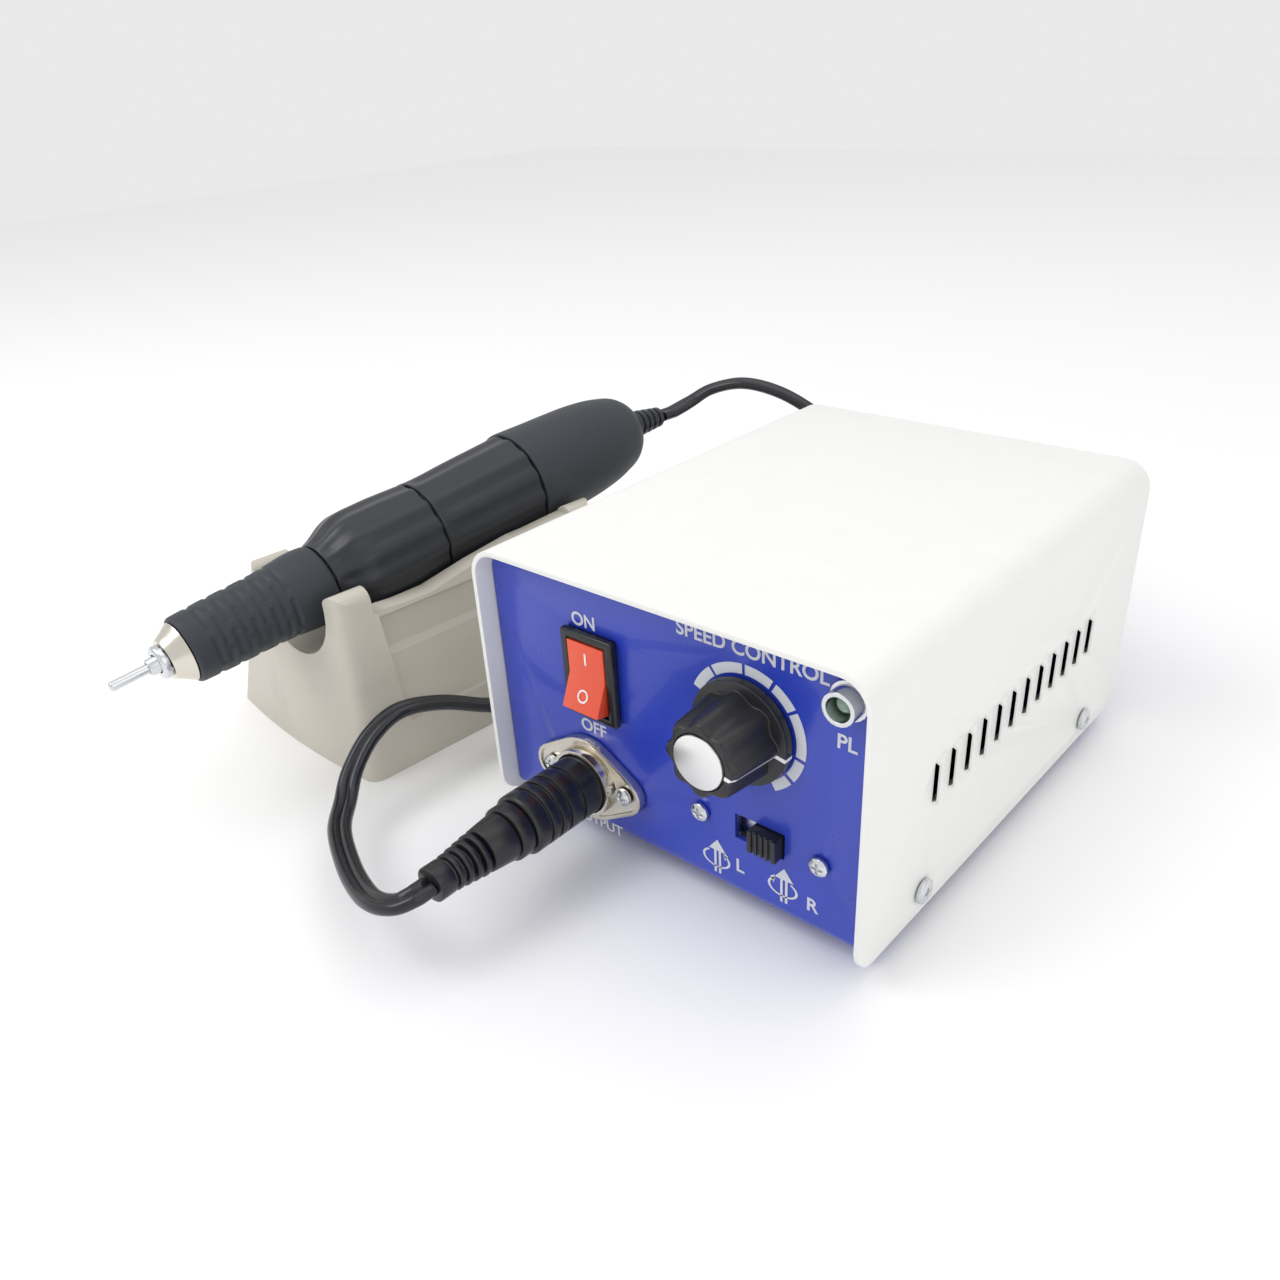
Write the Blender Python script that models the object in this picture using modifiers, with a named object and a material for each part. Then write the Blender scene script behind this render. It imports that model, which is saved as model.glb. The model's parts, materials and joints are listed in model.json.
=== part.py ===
# Dental micromotor: a bench control box, a handpiece lying in its stand, and the flat cord
# that joins them. Metres, +Z up. The bench frame starts at the cover's front left corner at
# table height; one empty moves it so that the origin is the middle of the footprint.

import math

import bmesh
import bpy
from mathutils import Euler, Matrix, Vector

for old_object in list(bpy.data.objects):
    bpy.data.objects.remove(old_object, do_unlink=True)

# General
CLEARANCE = 0.0003
SEAM = 0.0005
OVERRUN = 0.004
MERGE_DISTANCE = 0.00001
SHEET = 0.0012

# Cover
COVER_WIDTH = 0.102
COVER_DEPTH = 0.1285
COVER_HEIGHT = 0.067
COVER_BEND = 0.007
COVER_FOOT_CORNER = 0.006

# Chassis and feet
FOOT_HEIGHT = 0.004
FOOT_RADIUS = 0.006
FOOT_TIP_RADIUS = 0.005
FOOT_INSET_X = 0.017
FOOT_INSET_Y = 0.022
PANEL_SETBACK = 0.0047
REAR_SETBACK = 0.003
PANEL_LIFT = 0.0012
CHASSIS_SHEET = 0.0015
CHASSIS_BEND = 0.0025
TAB_WIDTH = 0.014
TAB_HEIGHT = 0.011

# Louvres pressed in both sides of the cover
LOUVRE_COUNT = 12
LOUVRE_FIRST_Y = 0.0258
LOUVRE_PITCH = 0.0068
LOUVRE_LENGTH = 0.0034
LOUVRE_HEIGHT = 0.0118
LOUVRE_RISE = 0.0013
LOUVRE_SKIN = 0.0005
LOUVRE_SLIT = 0.0004
LOUVRE_Z = 0.0322

# Screws with a cross recess
SCREW_FRONT_Y = 0.0243
SCREW_REAR_Y = 0.1066
SCREW_Z = 0.0060
SCREW_HEAD_RADIUS = 0.0029
SCREW_HEAD_HEIGHT = 0.0014
SCREW_SHANK_RADIUS = 0.0014
SCREW_LENGTH = 0.0052
PANEL_HEAD_RADIUS = 0.0022
PANEL_SHANK_RADIUS = 0.0011
CROSS_WIDTH = 0.0006
CROSS_LENGTH = 0.0028
CROSS_DEPTH = 0.0008
SCREW_HEAD_SHARES = [(0.6, 1.0), (1.0, 0.6)]

# Rocker switch
ROCKER_X = 0.0315
ROCKER_Z = 0.0427
BEZEL_WIDTH = 0.015
BEZEL_HEIGHT = 0.021
BEZEL_RISE = 0.002
BEZEL_ROUND = 0.0006
SWITCH_WALL = 0.00095
SWITCH_DEPTH = 0.0165
WELL_WIDTH = 0.0110
WELL_HEIGHT = 0.0175
WELL_DEPTH = 0.0085
ROCKER_REACH = 0.0078
ROCKER_CREST = 0.0034
ROCKER_VALLEY = 0.0018
ROCKER_SKIRT = 0.0014
ROCKER_HUB = 0.0032
ROCKER_PIVOT_SINK = 0.0016
ROCKER_TILT = math.radians(11.5)
ROCKER_PIN_RADIUS = 0.0010
ROCKER_PIN_REACH = 0.0007

# Output socket and its flange
SOCKET_X = 0.0284
SOCKET_Z = 0.0150
FLANGE_CENTRE_RADIUS = 0.0107
FLANGE_END_RADIUS = 0.0049
FLANGE_SCREW_REACH = 0.01115
FLANGE_THICKNESS = 0.0014
FLANGE_RIM_WIDTH = 0.0009
FLANGE_RIM_RISE = 0.0006
BARREL_WALL = 0.0009
BARREL_FRONT = 0.0024
BARREL_REAR = 0.0150
INSERT_LENGTH = 0.0140
CONTACT_CIRCLE = 0.0042
CONTACT_COUNT = 5
CONTACT_SPAN = math.radians(180)

# Plug on the cord
PLUG_RADIUS = 0.0072
PLUG_RUN = 0.0004
PLUG_NOSE = 0.0046
PLUG_GROOVE = 0.0005
PLUG_GROOVE_WIDTH = 0.0007
PLUG_SEAM = 0.0102
PLUG_GROOVE_FIRST = 0.0146
PLUG_GROOVE_PITCH = 0.0029
PLUG_GROOVE_COUNT = 3
PLUG_SHELL_END = 0.0243
PLUG_RING_RADIUS = 0.0064
PLUG_RING_LENGTH = 0.0036
BOOT_RADIUS = 0.0058
BOOT_WAIST_RADIUS = 0.0051
BOOT_CORE_RADIUS = 0.0032
BOOT_END_RADIUS = 0.0040
BOOT_TAPER_LENGTH = 0.0066
BOOT_RIB_ZONE = 0.0094
BOOT_RIB_COUNT = 4
BOOT_GAP_SHARE = 0.36
BOOT_END_LENGTH = 0.0040
PLUG_PIN_RADIUS = 0.0007
PLUG_PIN_REACH = 0.0035
PLUG_PIN_ROOT = 0.0015

# Speed control
KNOB_X = 0.0721
KNOB_Z = 0.0446
KNOB_SKIRT_RADIUS = 0.0113
KNOB_SKIRT_THICKNESS = 0.0022
KNOB_RADIUS = 0.0095
KNOB_FACE_RADIUS = 0.0085
KNOB_LOBES = 8
KNOB_LOBE_DEPTH = 0.0010
KNOB_LENGTH = 0.0142
KNOB_LIFT = 0.0008
KNOB_ROUND = 0.0006
KNOB_NUT_RECESS = 0.0036
POINTER_WIDTH = 0.0010
POINTER_DEPTH = 0.0005
CAP_RADIUS = 0.00575
CAP_THICKNESS = 0.0009
CAP_SINK = 0.0005
SHAFT_RADIUS = 0.0030
SHAFT_REACH = 0.0110
SHAFT_TAIL = 0.0085
BUSHING_WALL = 0.0010
BUSHING_REACH = 0.0032
POT_RADIUS = 0.0120
POT_DEPTH = 0.0100
POT_NUT_RADIUS = 0.0066
POT_NUT_HEIGHT = 0.0018
KNOB_REST_ANGLE = math.radians(-10)

# Pilot lamp
LAMP_X = 0.0950
LAMP_Z = 0.0592
LAMP_RING_RADIUS = 0.0034
LAMP_FLANGE_RADIUS = 0.0041
LAMP_FLANGE_THICKNESS = 0.0008
LAMP_RISE = 0.0047
LAMP_TAIL_RADIUS = 0.0030
LAMP_TAIL = 0.0080
LENS_RADIUS = 0.0022
LENS_SINK = 0.0014
LENS_LENGTH = 0.0085

# Direction slide switch
SLIDE_X = 0.0751
SLIDE_Z = 0.0193
SLIDER_WIDTH = 0.0069
SLIDER_HEIGHT = 0.0054
SLIDER_GAP = 0.0004
SLIDER_TRAVEL = 0.0046
SLIDER_RISE = 0.0028
SLIDER_RIDGES = 4
SLIDER_RIDGE_DEPTH = 0.0005
SLIDER_FOOT_LIP = 0.0010
SLIDER_FOOT_THICKNESS = 0.0009
SLIDE_SCREW_REACH = 0.0148
SLIDE_CASE_WALL = 0.0012
SLIDE_CASE_DEPTH = 0.0085
SLIDE_EAR_HEIGHT = 0.0070
SLIDE_EAR_MARGIN = 0.0030
SLIDE_EAR_THICKNESS = 0.0010

# Power supply inside the box
TRANSFORMER_X = 0.062
TRANSFORMER_Y = 0.077
CORE_WIDTH = 0.044
CORE_DEPTH = 0.022
CORE_HEIGHT = 0.037
CORE_LIMB = 0.0075
CORE_FOOT_WIDTH = 0.056
CORE_FOOT_THICKNESS = 0.0012
WINDING_DEPTH = 0.034
BOARD_X = 0.0215
BOARD_Y = 0.080
BOARD_WIDTH = 0.034
BOARD_LENGTH = 0.056
BOARD_THICKNESS = 0.0016
STANDOFF_HEIGHT = 0.0080
STANDOFF_RADIUS = 0.0025
STANDOFF_INSET = 0.004

# Rear wall fittings
REAR_FITTING_Z = 0.018
GLAND_X = 0.082
GLAND_RADIUS = 0.0062
GLAND_TIP_RADIUS = 0.0046
GLAND_BODY_RADIUS = 0.0040
GLAND_BORE = 0.0018
GLAND_LENGTH = 0.010
GLAND_TAIL = 0.005
FUSE_X = 0.058
FUSE_CAP_RADIUS = 0.0075
FUSE_BODY_RADIUS = 0.0060
FUSE_RISE = 0.0080
FUSE_TAIL = 0.018
FUSE_KEY_WIDTH = 0.0012
FUSE_KEY_LENGTH = 0.0105
FUSE_KEY_DEPTH = 0.0012
JACK_X = 0.030
JACK_RADIUS = 0.0052
JACK_BODY_RADIUS = 0.0040
JACK_BORE = 0.0018
JACK_RISE = 0.0024
JACK_TAIL = 0.014

# Handpiece: its axis starts at the tool's tip and runs rearwards and up
HAND_X = -0.0588
HAND_Y = -0.0614
HAND_Z = 0.0436
HAND_TURN = math.radians(3.8)
HAND_TILT = math.radians(6.1)
TOOL_RADIUS = 0.001175
TOOL_LENGTH = 0.030
TOOL_CHAMFER = 0.0004
TOOL_STICKOUT = 0.0093
COLLET_RADIUS = 0.0021
COLLET_LENGTH = 0.024
GUARD_SETBACK = 0.0022
GUARD_LENGTH = 0.0018
GUARD_RADIUS = 0.0042
NOSE_LENGTH = 0.0042
NOSE_RADIUS = 0.0076
NOSE_PROFILE_SHARES = [(0.0, 0.66), (0.12, 0.70), (0.40, 0.79), (0.92, 0.98), (1.0, 1.0)]
NOSE_SPIGOT_LENGTH = 0.0070
SPINDLE_WALL = 0.0006
GRIP_LENGTH = 0.0381
GRIP_RADIUS = 0.0102
GRIP_PROFILE_SHARES = [
    (0.0, 0.775), (0.012, 0.822), (0.035, 0.840), (0.11, 0.853), (0.27, 0.877),
    (0.475, 0.892), (0.63, 0.912), (0.735, 0.951), (0.84, 0.994), (0.92, 1.0),
    (0.98, 0.98), (1.0, 0.951)]
LOCK_LENGTH = 0.0311
LOCK_RADIUS = 0.01425
LOCK_PROFILE_SHARES = [
    (0.0, 0.695), (0.10, 0.786), (0.23, 0.926), (0.345, 0.993), (0.50, 1.0), (0.65, 0.997),
    (0.85, 0.976), (1.0, 0.958)]
LOCK_NECK_LENGTH = 0.0104
SLEEVE_LENGTH = 0.0329
SLEEVE_RADIUS = 0.01465
SLEEVE_PROFILE_SHARES = [
    (0.0, 0.928), (0.24, 0.939), (0.45, 0.962), (0.66, 0.976), (0.88, 0.99), (1.0, 1.0)]
FLUTE_COUNT = 14
FLUTE_DEPTH = 0.0005
TAIL_LENGTH = 0.0474
TAIL_RADIUS = 0.0149
TAIL_PROFILE_SHARES = [
    (0.0, 0.99), (0.034, 1.0), (0.215, 0.973), (0.384, 0.953), (0.553, 0.926),
    (0.70, 0.872), (0.806, 0.799), (0.87, 0.738), (0.912, 0.664), (0.95, 0.564),
    (0.98, 0.423), (1.0, 0.329)]
TAIL_HOLE = 0.0040
TAIL_TAPER_SHARE = 0.87
TAIL_TAPER_BORE_SHARE = 0.72
TAIL_HOLE_SHARE = 0.935
RELIEF_LENGTH = 0.0135
RELIEF_RADIUS = 0.0042
RELIEF_TIP_RADIUS = 0.0031
RELIEF_RIBS = 5
RELIEF_RIB_SHARE = 0.6
RELIEF_GROOVE = 0.0009
RELIEF_NECK_LENGTH = 0.0030
RELIEF_DROOP = math.radians(7)

# Inside the handpiece
CARTRIDGE_RADIUS = 0.0068
MOTOR_RADIUS = 0.0120
MOTOR_WALL = 0.0012
MOTOR_MOUTH = 0.0018
COUPLING_RADIUS = 0.0045
COUPLING_LENGTH = 0.0080
AXLE_RADIUS = 0.0020
BEARING_PLATE_THICKNESS = 0.0040
MAGNET_LENGTH = 0.0440
MAGNET_WALL = 0.0022
AIR_GAP = 0.0005
ARMATURE_LENGTH = 0.0380
ARMATURE_SLOTS = 7
ARMATURE_SLOT_WIDTH = 0.0012
ARMATURE_SLOT_DEPTH = 0.0016

# Stand, measured along the handpiece's ground line and across it
STAND_FRONT = 0.0480
STAND_REAR = 0.1320
STAND_BOW = 0.0020
STAND_RIGHT = 0.0213
STAND_LEFT = 0.0505
STAND_CORNER = 0.004
STAND_WALL = 0.0026
HOLLOW_ROOF = 0.0036
HORN_RADIUS = 0.0032
HORN_HEIGHT = 0.0532
FRONT_HORN_DEPTH = 0.0095
REAR_HORN_DEPTH = 0.0085
RIM_DROP_SHARES = [(0.0, 0.224), (0.14, 0.36), (0.29, 0.434), (0.50, 0.349), (0.73, 0.316),
                   (1.0, 0.355)]
RECESS_DRAFT = 0.0050
RIM_INSET = 0.0020
BAND_INSET = 0.0043
WALL_INSET = 0.0027
LEDGE_INSET = 0.0015
BAND_TOP = 0.0425
BAND_BOTTOM = 0.0340
BAND_SLOPE = 0.0015
LEDGE_HEIGHT = 0.0130

# Flat cord: these points are chosen by hand from where it lies
CORD_RADIUS = 0.0026
CORD_POINT_STEP = 0.0066
CORD_RUN_OUT_SHARE = 0.65
COIL_X = 0.030
COIL_Y = 0.188
COIL_Z = 0.0042
COIL_RADIUS = 0.0340
COIL_PITCH = 0.0058
COIL_LAYER = 0.0072
COIL_TURNS = 6.5
COIL_POINTS = 20
TIE_WIDTH = 0.009
TIE_THICKNESS = 0.0006
TIE_GAP = 0.0007

FRONT_ROUTE = [
    (0.0258, -0.0508, 0.0176), (0.0205, -0.0518, 0.0158), (0.0130, -0.0503, 0.0138),
    (0.0015, -0.0460, 0.0120), (-0.0120, -0.0390, 0.0110), (-0.0205, -0.0312, 0.0112),
    (-0.0250, -0.0250, 0.0148), (-0.0267, -0.0170, 0.0200), (-0.0262, -0.0080, 0.0228),
    (-0.0240, 0.0030, 0.0205), (-0.0205, 0.0140, 0.0155), (-0.0180, 0.0260, 0.0103),
    (-0.0165, 0.0400, 0.0060), (-0.0155, 0.0560, 0.0036), (-0.0150, 0.0800, 0.0029),
    (-0.0140, 0.1050, 0.0029), (-0.0105, 0.1300, 0.0031), (-0.0060, 0.1550, 0.0037),
    (-0.0042, 0.1700, 0.0042),
]
REAR_ROUTE = [
    (0.0636, 0.1720, 0.0118), (0.0605, 0.1640, 0.0132), (0.0520, 0.1560, 0.0180),
    (0.0390, 0.1530, 0.0255), (0.0260, 0.1530, 0.0340), (0.0130, 0.1535, 0.0435),
    (0.0020, 0.1530, 0.0530), (-0.0080, 0.1510, 0.0600), (-0.0190, 0.1470, 0.0662),
    (-0.0300, 0.1425, 0.0688), (-0.0395, 0.1380, 0.0668), (-0.0445, 0.1325, 0.0632),
]

# Sides of the turned pieces
FINE = 28
ROUND = 20
COARSE = 12
SMALL = 8
FLUTED = 28
KNURLED = 32

# Heights and depths that several pieces share
PANEL_BACK_Y = PANEL_SETBACK + CHASSIS_SHEET
REAR_FACE_Y = COVER_DEPTH - REAR_SETBACK
CHASSIS_FLOOR_Z = FOOT_HEIGHT + PANEL_LIFT
FLOOR_TOP_Z = CHASSIS_FLOOR_Z + CHASSIS_SHEET
SCREW_HOLE_RADIUS = SCREW_SHANK_RADIUS + CLEARANCE
PANEL_HOLE_RADIUS = PANEL_SHANK_RADIUS + CLEARANCE
BARREL_BORE = PLUG_RADIUS + PLUG_RUN
BARREL_RADIUS = BARREL_BORE + BARREL_WALL
SHAFT_BORE = SHAFT_RADIUS + CLEARANCE
BUSHING_RADIUS = SHAFT_BORE + BUSHING_WALL

# Stations along the handpiece, from the tool's tip
GUARD_START = TOOL_STICKOUT + GUARD_SETBACK
NOSE_START = GUARD_START + GUARD_LENGTH + CLEARANCE
NOSE_END = NOSE_START + NOSE_LENGTH
GRIP_START = NOSE_END + CLEARANCE
GRIP_END = GRIP_START + GRIP_LENGTH
LOCK_START = GRIP_END + SEAM
LOCK_END = LOCK_START + LOCK_LENGTH
SLEEVE_START = LOCK_END + SEAM
SLEEVE_END = SLEEVE_START + SLEEVE_LENGTH
TAIL_START = SLEEVE_END + SEAM
TAIL_END = TAIL_START + TAIL_LENGTH
COLLET_END = TOOL_STICKOUT + COLLET_LENGTH
COLLET_BORE = TOOL_RADIUS + CLEARANCE
SPINDLE_BORE = COLLET_RADIUS + CLEARANCE
SPINDLE_RADIUS = SPINDLE_BORE + SPINDLE_WALL
SPINDLE_START = NOSE_START + SEAM
CARTRIDGE_START = GRIP_START + NOSE_SPIGOT_LENGTH + CLEARANCE
CARTRIDGE_END = LOCK_START + LOCK_NECK_LENGTH
CARTRIDGE_BORE = SPINDLE_RADIUS + CLEARANCE
GRIP_BORE = CARTRIDGE_RADIUS + CLEARANCE
MOTOR_START = CARTRIDGE_END + CLEARANCE
MOTOR_BORE = MOTOR_RADIUS - MOTOR_WALL
SLEEVE_BORE = MOTOR_RADIUS + CLEARANCE
AXLE_START = MOTOR_START + COUPLING_LENGTH + CLEARANCE
AXLE_BORE = AXLE_RADIUS + CLEARANCE
FRONT_PLATE_START = AXLE_START + SEAM
MAGNET_START = FRONT_PLATE_START + BEARING_PLATE_THICKNESS + CLEARANCE
MAGNET_END = MAGNET_START + MAGNET_LENGTH
MAGNET_RADIUS = MOTOR_BORE - CLEARANCE
MAGNET_BORE = MAGNET_RADIUS - MAGNET_WALL
ARMATURE_START = MAGNET_START + (MAGNET_LENGTH - ARMATURE_LENGTH) / 2
ARMATURE_END = ARMATURE_START + ARMATURE_LENGTH
ARMATURE_RADIUS = MAGNET_BORE - AIR_GAP
REAR_PLATE_START = MAGNET_END + CLEARANCE
MOTOR_END = REAR_PLATE_START + BEARING_PLATE_THICKNESS + SEAM

# The stand's trough holds the thickest part of the handpiece
TROUGH_RADIUS = max(LOCK_RADIUS, SLEEVE_RADIUS, TAIL_RADIUS) + CLEARANCE
HORN_CENTRE = STAND_RIGHT - HORN_RADIUS
HORN_CENTRE_Z = HORN_HEIGHT - HORN_RADIUS
SIDE_REACH = STAND_LEFT - HORN_CENTRE
SIDE_LEAN = (math.atan2(HORN_CENTRE_Z, SIDE_REACH)
             + math.asin(HORN_RADIUS / math.hypot(HORN_CENTRE_Z, SIDE_REACH)))

OUT_OF_PANEL = (math.pi / 2, 0.0, 0.0)
OUT_OF_REAR = (-math.pi / 2, 0.0, 0.0)
ALONG_X = (0.0, math.pi / 2, 0.0)


# Frames that pieces stand in
def hand_rotation():
    return Euler((HAND_TILT - math.pi / 2, 0.0, -HAND_TURN), "XYZ")


def relief_matrix():
    """The strain relief's frame: it hangs a little below the axis from the tail's end."""
    hand = Matrix.Translation((HAND_X, HAND_Y, HAND_Z)) @ hand_rotation().to_matrix().to_4x4()
    droop = Matrix.Rotation(-RELIEF_DROOP, 4, "X")
    return hand @ Matrix.Translation((0, 0, TAIL_END)) @ droop


def axis_height(along):
    """Height of the handpiece's axis at a distance along its ground line."""
    return HAND_Z + along * math.tan(HAND_TILT)


def leftmost_x():
    """The stand's leftmost place, on its rounded front left corner."""
    centre = Vector((-STAND_LEFT + STAND_CORNER, STAND_FRONT + STAND_CORNER, 0))
    return HAND_X + (Matrix.Rotation(-HAND_TURN, 3, "Z") @ centre).x - STAND_CORNER


ORIGIN_X = (leftmost_x() + COVER_WIDTH + CLEARANCE + SCREW_HEAD_HEIGHT) / 2
ORIGIN_Y = (HAND_Y + REAR_FACE_Y + GLAND_LENGTH) / 2

parts = bpy.data.collections.new("dental_micromotor")
cutters = bpy.data.collections.new("cutters")
bpy.context.scene.collection.children.link(parts)
bpy.context.scene.collection.children.link(cutters)


def empty(name, location, rotation, parent):
    made = bpy.data.objects.new(name, None)
    made.location = location
    made.rotation_euler = rotation
    made.parent = parent
    parts.objects.link(made)
    return made


BENCH = empty("bench", (-ORIGIN_X, -ORIGIN_Y, 0.0), (0, 0, 0), None)
HANDPIECE = empty("handpiece", (HAND_X, HAND_Y, HAND_Z), hand_rotation(), BENCH)
STAND = empty("stand", (HAND_X, HAND_Y, 0.0), (0, 0, -HAND_TURN), BENCH)


# Materials
def material(name, colour, roughness, metallic=0.0):
    made = bpy.data.materials.new(name)
    made.use_nodes = True
    shader = made.node_tree.nodes["Principled BSDF"]
    shader.inputs["Base Color"].default_value = (*colour, 1.0)
    shader.inputs["Roughness"].default_value = roughness
    shader.inputs["Metallic"].default_value = metallic
    made.diffuse_color = (*colour, 1.0)
    return made


WHITE_POWDER = material("white_powder_coat", (0.88, 0.88, 0.86), 0.45)
BLUE_PAINT = material("blue_enamel", (0.03, 0.08, 0.45), 0.35)
BLACK_PLASTIC = material("black_plastic", (0.02, 0.02, 0.022), 0.35)
SOFT_GRIP = material("soft_grip_rubber", (0.04, 0.045, 0.055), 0.7)
SATIN_BLACK = material("satin_black_coat", (0.03, 0.033, 0.04), 0.35)
RED_PLASTIC = material("red_plastic", (0.8, 0.1, 0.03), 0.35)
NICKEL = material("nickel_plate", (0.72, 0.68, 0.60), 0.25, 1.0)
STEEL = material("bright_steel", (0.65, 0.65, 0.66), 0.25, 1.0)
SPUN_ALUMINIUM = material("spun_aluminium", (0.82, 0.82, 0.83), 0.3, 1.0)
BRASS = material("brass", (0.78, 0.60, 0.28), 0.3, 1.0)
COPPER = material("copper", (0.80, 0.42, 0.25), 0.35, 1.0)
BEIGE_PLASTIC = material("beige_plastic", (0.55, 0.52, 0.43), 0.45)
CORD_SHEATH = material("cord_sheath", (0.03, 0.035, 0.05), 0.3)
RUBBER = material("foot_rubber", (0.03, 0.03, 0.03), 0.8)
GREEN_LENS = material("green_lens", (0.45, 0.7, 0.4), 0.1)
IRON = material("laminated_iron", (0.25, 0.25, 0.26), 0.6, 1.0)
BOARD_GREEN = material("circuit_board", (0.05, 0.25, 0.10), 0.5)
TIE_STRAP = material("tie_strap", (0.02, 0.02, 0.02), 0.9)


# Modelling helpers
def link(name, mesh, finish, parent, location=(0, 0, 0), rotation=(0, 0, 0), cutter=False):
    made = bpy.data.objects.new(name, mesh)
    made.location = location
    made.rotation_euler = rotation
    made.parent = parent
    mesh.materials.clear()
    if cutter:
        made.hide_render = True
        made.display_type = "WIRE"
        cutters.objects.link(made)
    else:
        mesh.materials.append(finish)
        parts.objects.link(made)
    return made


def mesh_from(fill, name):
    shape = bmesh.new()
    fill(shape)
    mesh = bpy.data.meshes.new(name)
    shape.to_mesh(mesh)
    shape.free()
    return mesh


def box_mesh(size, centre=(0, 0, 0)):
    def fill(shape):
        matrix = Matrix.Translation(centre) @ Matrix.Diagonal((*size, 1.0))
        bmesh.ops.create_cube(shape, size=1.0, matrix=matrix)
    return mesh_from(fill, "box")


def rod_mesh(radius, length, sides, start=(0, 0, 0), turn=None):
    """A cylinder from its start along +Z, or along where turn takes +Z."""
    def fill(shape):
        matrix = Matrix.Translation(start)
        if turn:
            matrix = matrix @ turn
        matrix = matrix @ Matrix.Translation((0, 0, length / 2))
        bmesh.ops.create_cone(shape, cap_ends=True, segments=sides, radius1=radius,
                              radius2=radius, depth=length, matrix=matrix)
    return mesh_from(fill, "rod")


def hull_mesh(points):
    """The closed skin around a few points."""
    def fill(shape):
        corners = [shape.verts.new(point) for point in points]
        bmesh.ops.convex_hull(shape, input=corners)
        bmesh.ops.recalc_face_normals(shape, faces=shape.faces)
    return mesh_from(fill, "hull")


def merged(meshes):
    """Several separate closed meshes as one mesh."""
    shape = bmesh.new()
    for mesh in meshes:
        shape.from_mesh(mesh)
    joined = bpy.data.meshes.new("merged")
    shape.to_mesh(joined)
    shape.free()
    return joined


def block(name, size, centre, finish, parent, cutter=False):
    return link(name, box_mesh(size), finish, parent, centre, (0, 0, 0), cutter)


def soften(target, width, segments=2):
    bevel = target.modifiers.new("rounded edges", "BEVEL")
    bevel.width = width
    bevel.segments = segments
    bevel.limit_method = "ANGLE"
    bevel.angle_limit = math.radians(50)


def cut(target, tool, how="DIFFERENCE"):
    change = target.modifiers.new(how.lower(), "BOOLEAN")
    change.operation = how
    change.solver = "EXACT"
    change.object = tool


def turned(name, outer, sides, finish, parent, location=(0, 0, 0), rotation=(0, 0, 0),
           inner=None, blind=False, cutter=False):
    """A turned piece. outer and inner are (height, radius) pairs with rising height. Without
    inner it is solid, with inner it is a sleeve, or a blind bore from its lower end."""
    loop = [(0.0, outer[-1][0])] if blind or not inner else []
    loop += [(radius, height) for height, radius in reversed(outer)]
    loop += [(radius, height) for height, radius in inner or []]
    if not inner:
        loop += [(0.0, outer[0][0])]
    elif blind:
        loop += [(0.0, inner[-1][0])]

    def fill(shape):
        points = [shape.verts.new((radius, 0.0, height)) for radius, height in loop]
        pairs = list(zip(points, points[1:]))
        if inner and not blind:
            pairs.append((points[-1], points[0]))
        for first, second in pairs:
            shape.edges.new((first, second))
    made = link(name, mesh_from(fill, name), finish, parent, location, rotation, cutter)
    screw = made.modifiers.new("turned", "SCREW")
    screw.axis = "Z"
    screw.angle = math.tau
    screw.steps = sides
    screw.render_steps = sides
    screw.use_merge_vertices = True
    screw.merge_threshold = MERGE_DISTANCE
    screw.use_smooth_shade = True
    return made


def ring_points(height, radius, sides, lobes=0, depth=0.0):
    """A level ring, with shallow lobes if any are asked for."""
    points = []
    for side in range(sides):
        angle = math.tau * side / sides
        reach = radius - depth * (0.5 - 0.5 * math.cos(lobes * angle))
        points.append((reach * math.cos(angle), reach * math.sin(angle), height))
    return points


def lofted(name, rings, finish, parent, sleeve=False, location=(0, 0, 0), rotation=(0, 0, 0)):
    """A skin over rings of equal count. A sleeve's last ring joins its first, and any other
    piece is closed by its end rings."""
    def fill(shape):
        rows = [[shape.verts.new(point) for point in ring] for ring in rings]
        pairs = list(zip(rows, rows[1:]))
        if sleeve:
            pairs.append((rows[-1], rows[0]))
        else:
            shape.faces.new(rows[0])
            shape.faces.new(rows[-1])
        for low, high in pairs:
            for index in range(len(low)):
                after = (index + 1) % len(low)
                face = shape.faces.new((low[index], low[after], high[after], high[index]))
                face.smooth = True
        bmesh.ops.recalc_face_normals(shape, faces=shape.faces)
    return link(name, mesh_from(fill, name), finish, parent, location, rotation)


def solid_copy(source):
    """The finished mesh of an object, welded."""
    bpy.context.view_layer.update()
    graph = bpy.context.evaluated_depsgraph_get()
    mesh = bpy.data.meshes.new_from_object(source.evaluated_get(graph))
    shape = bmesh.new()
    shape.from_mesh(mesh)
    bmesh.ops.remove_doubles(shape, verts=shape.verts, dist=MERGE_DISTANCE)
    bmesh.ops.recalc_face_normals(shape, faces=shape.faces)
    shape.to_mesh(mesh)
    shape.free()
    return mesh


def outline_mesh(points, thickness):
    """A flat outline in the XY plane, with its back on that plane and its face above it."""
    curve = bpy.data.curves.new("outline", "CURVE")
    curve.dimensions = "2D"
    curve.fill_mode = "BOTH"
    curve.extrude = thickness / 2
    spline = curve.splines.new("POLY")
    spline.points.add(len(points) - 1)
    for target, (x, y) in zip(spline.points, points):
        target.co = (x, y, 0.0, 1.0)
    spline.use_cyclic_u = True
    holder = bpy.data.objects.new("outline", curve)
    cutters.objects.link(holder)
    mesh = solid_copy(holder)
    mesh.transform(Matrix.Translation((0, 0, thickness / 2)))
    bpy.data.objects.remove(holder, do_unlink=True)
    return mesh


def arc(centre_x, centre_y, radius, start, end, steps):
    """Points of an arc from one angle to another, both included."""
    return [(centre_x + radius * math.cos(start + (end - start) * step / steps),
             centre_y + radius * math.sin(start + (end - start) * step / steps))
            for step in range(steps + 1)]


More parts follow.
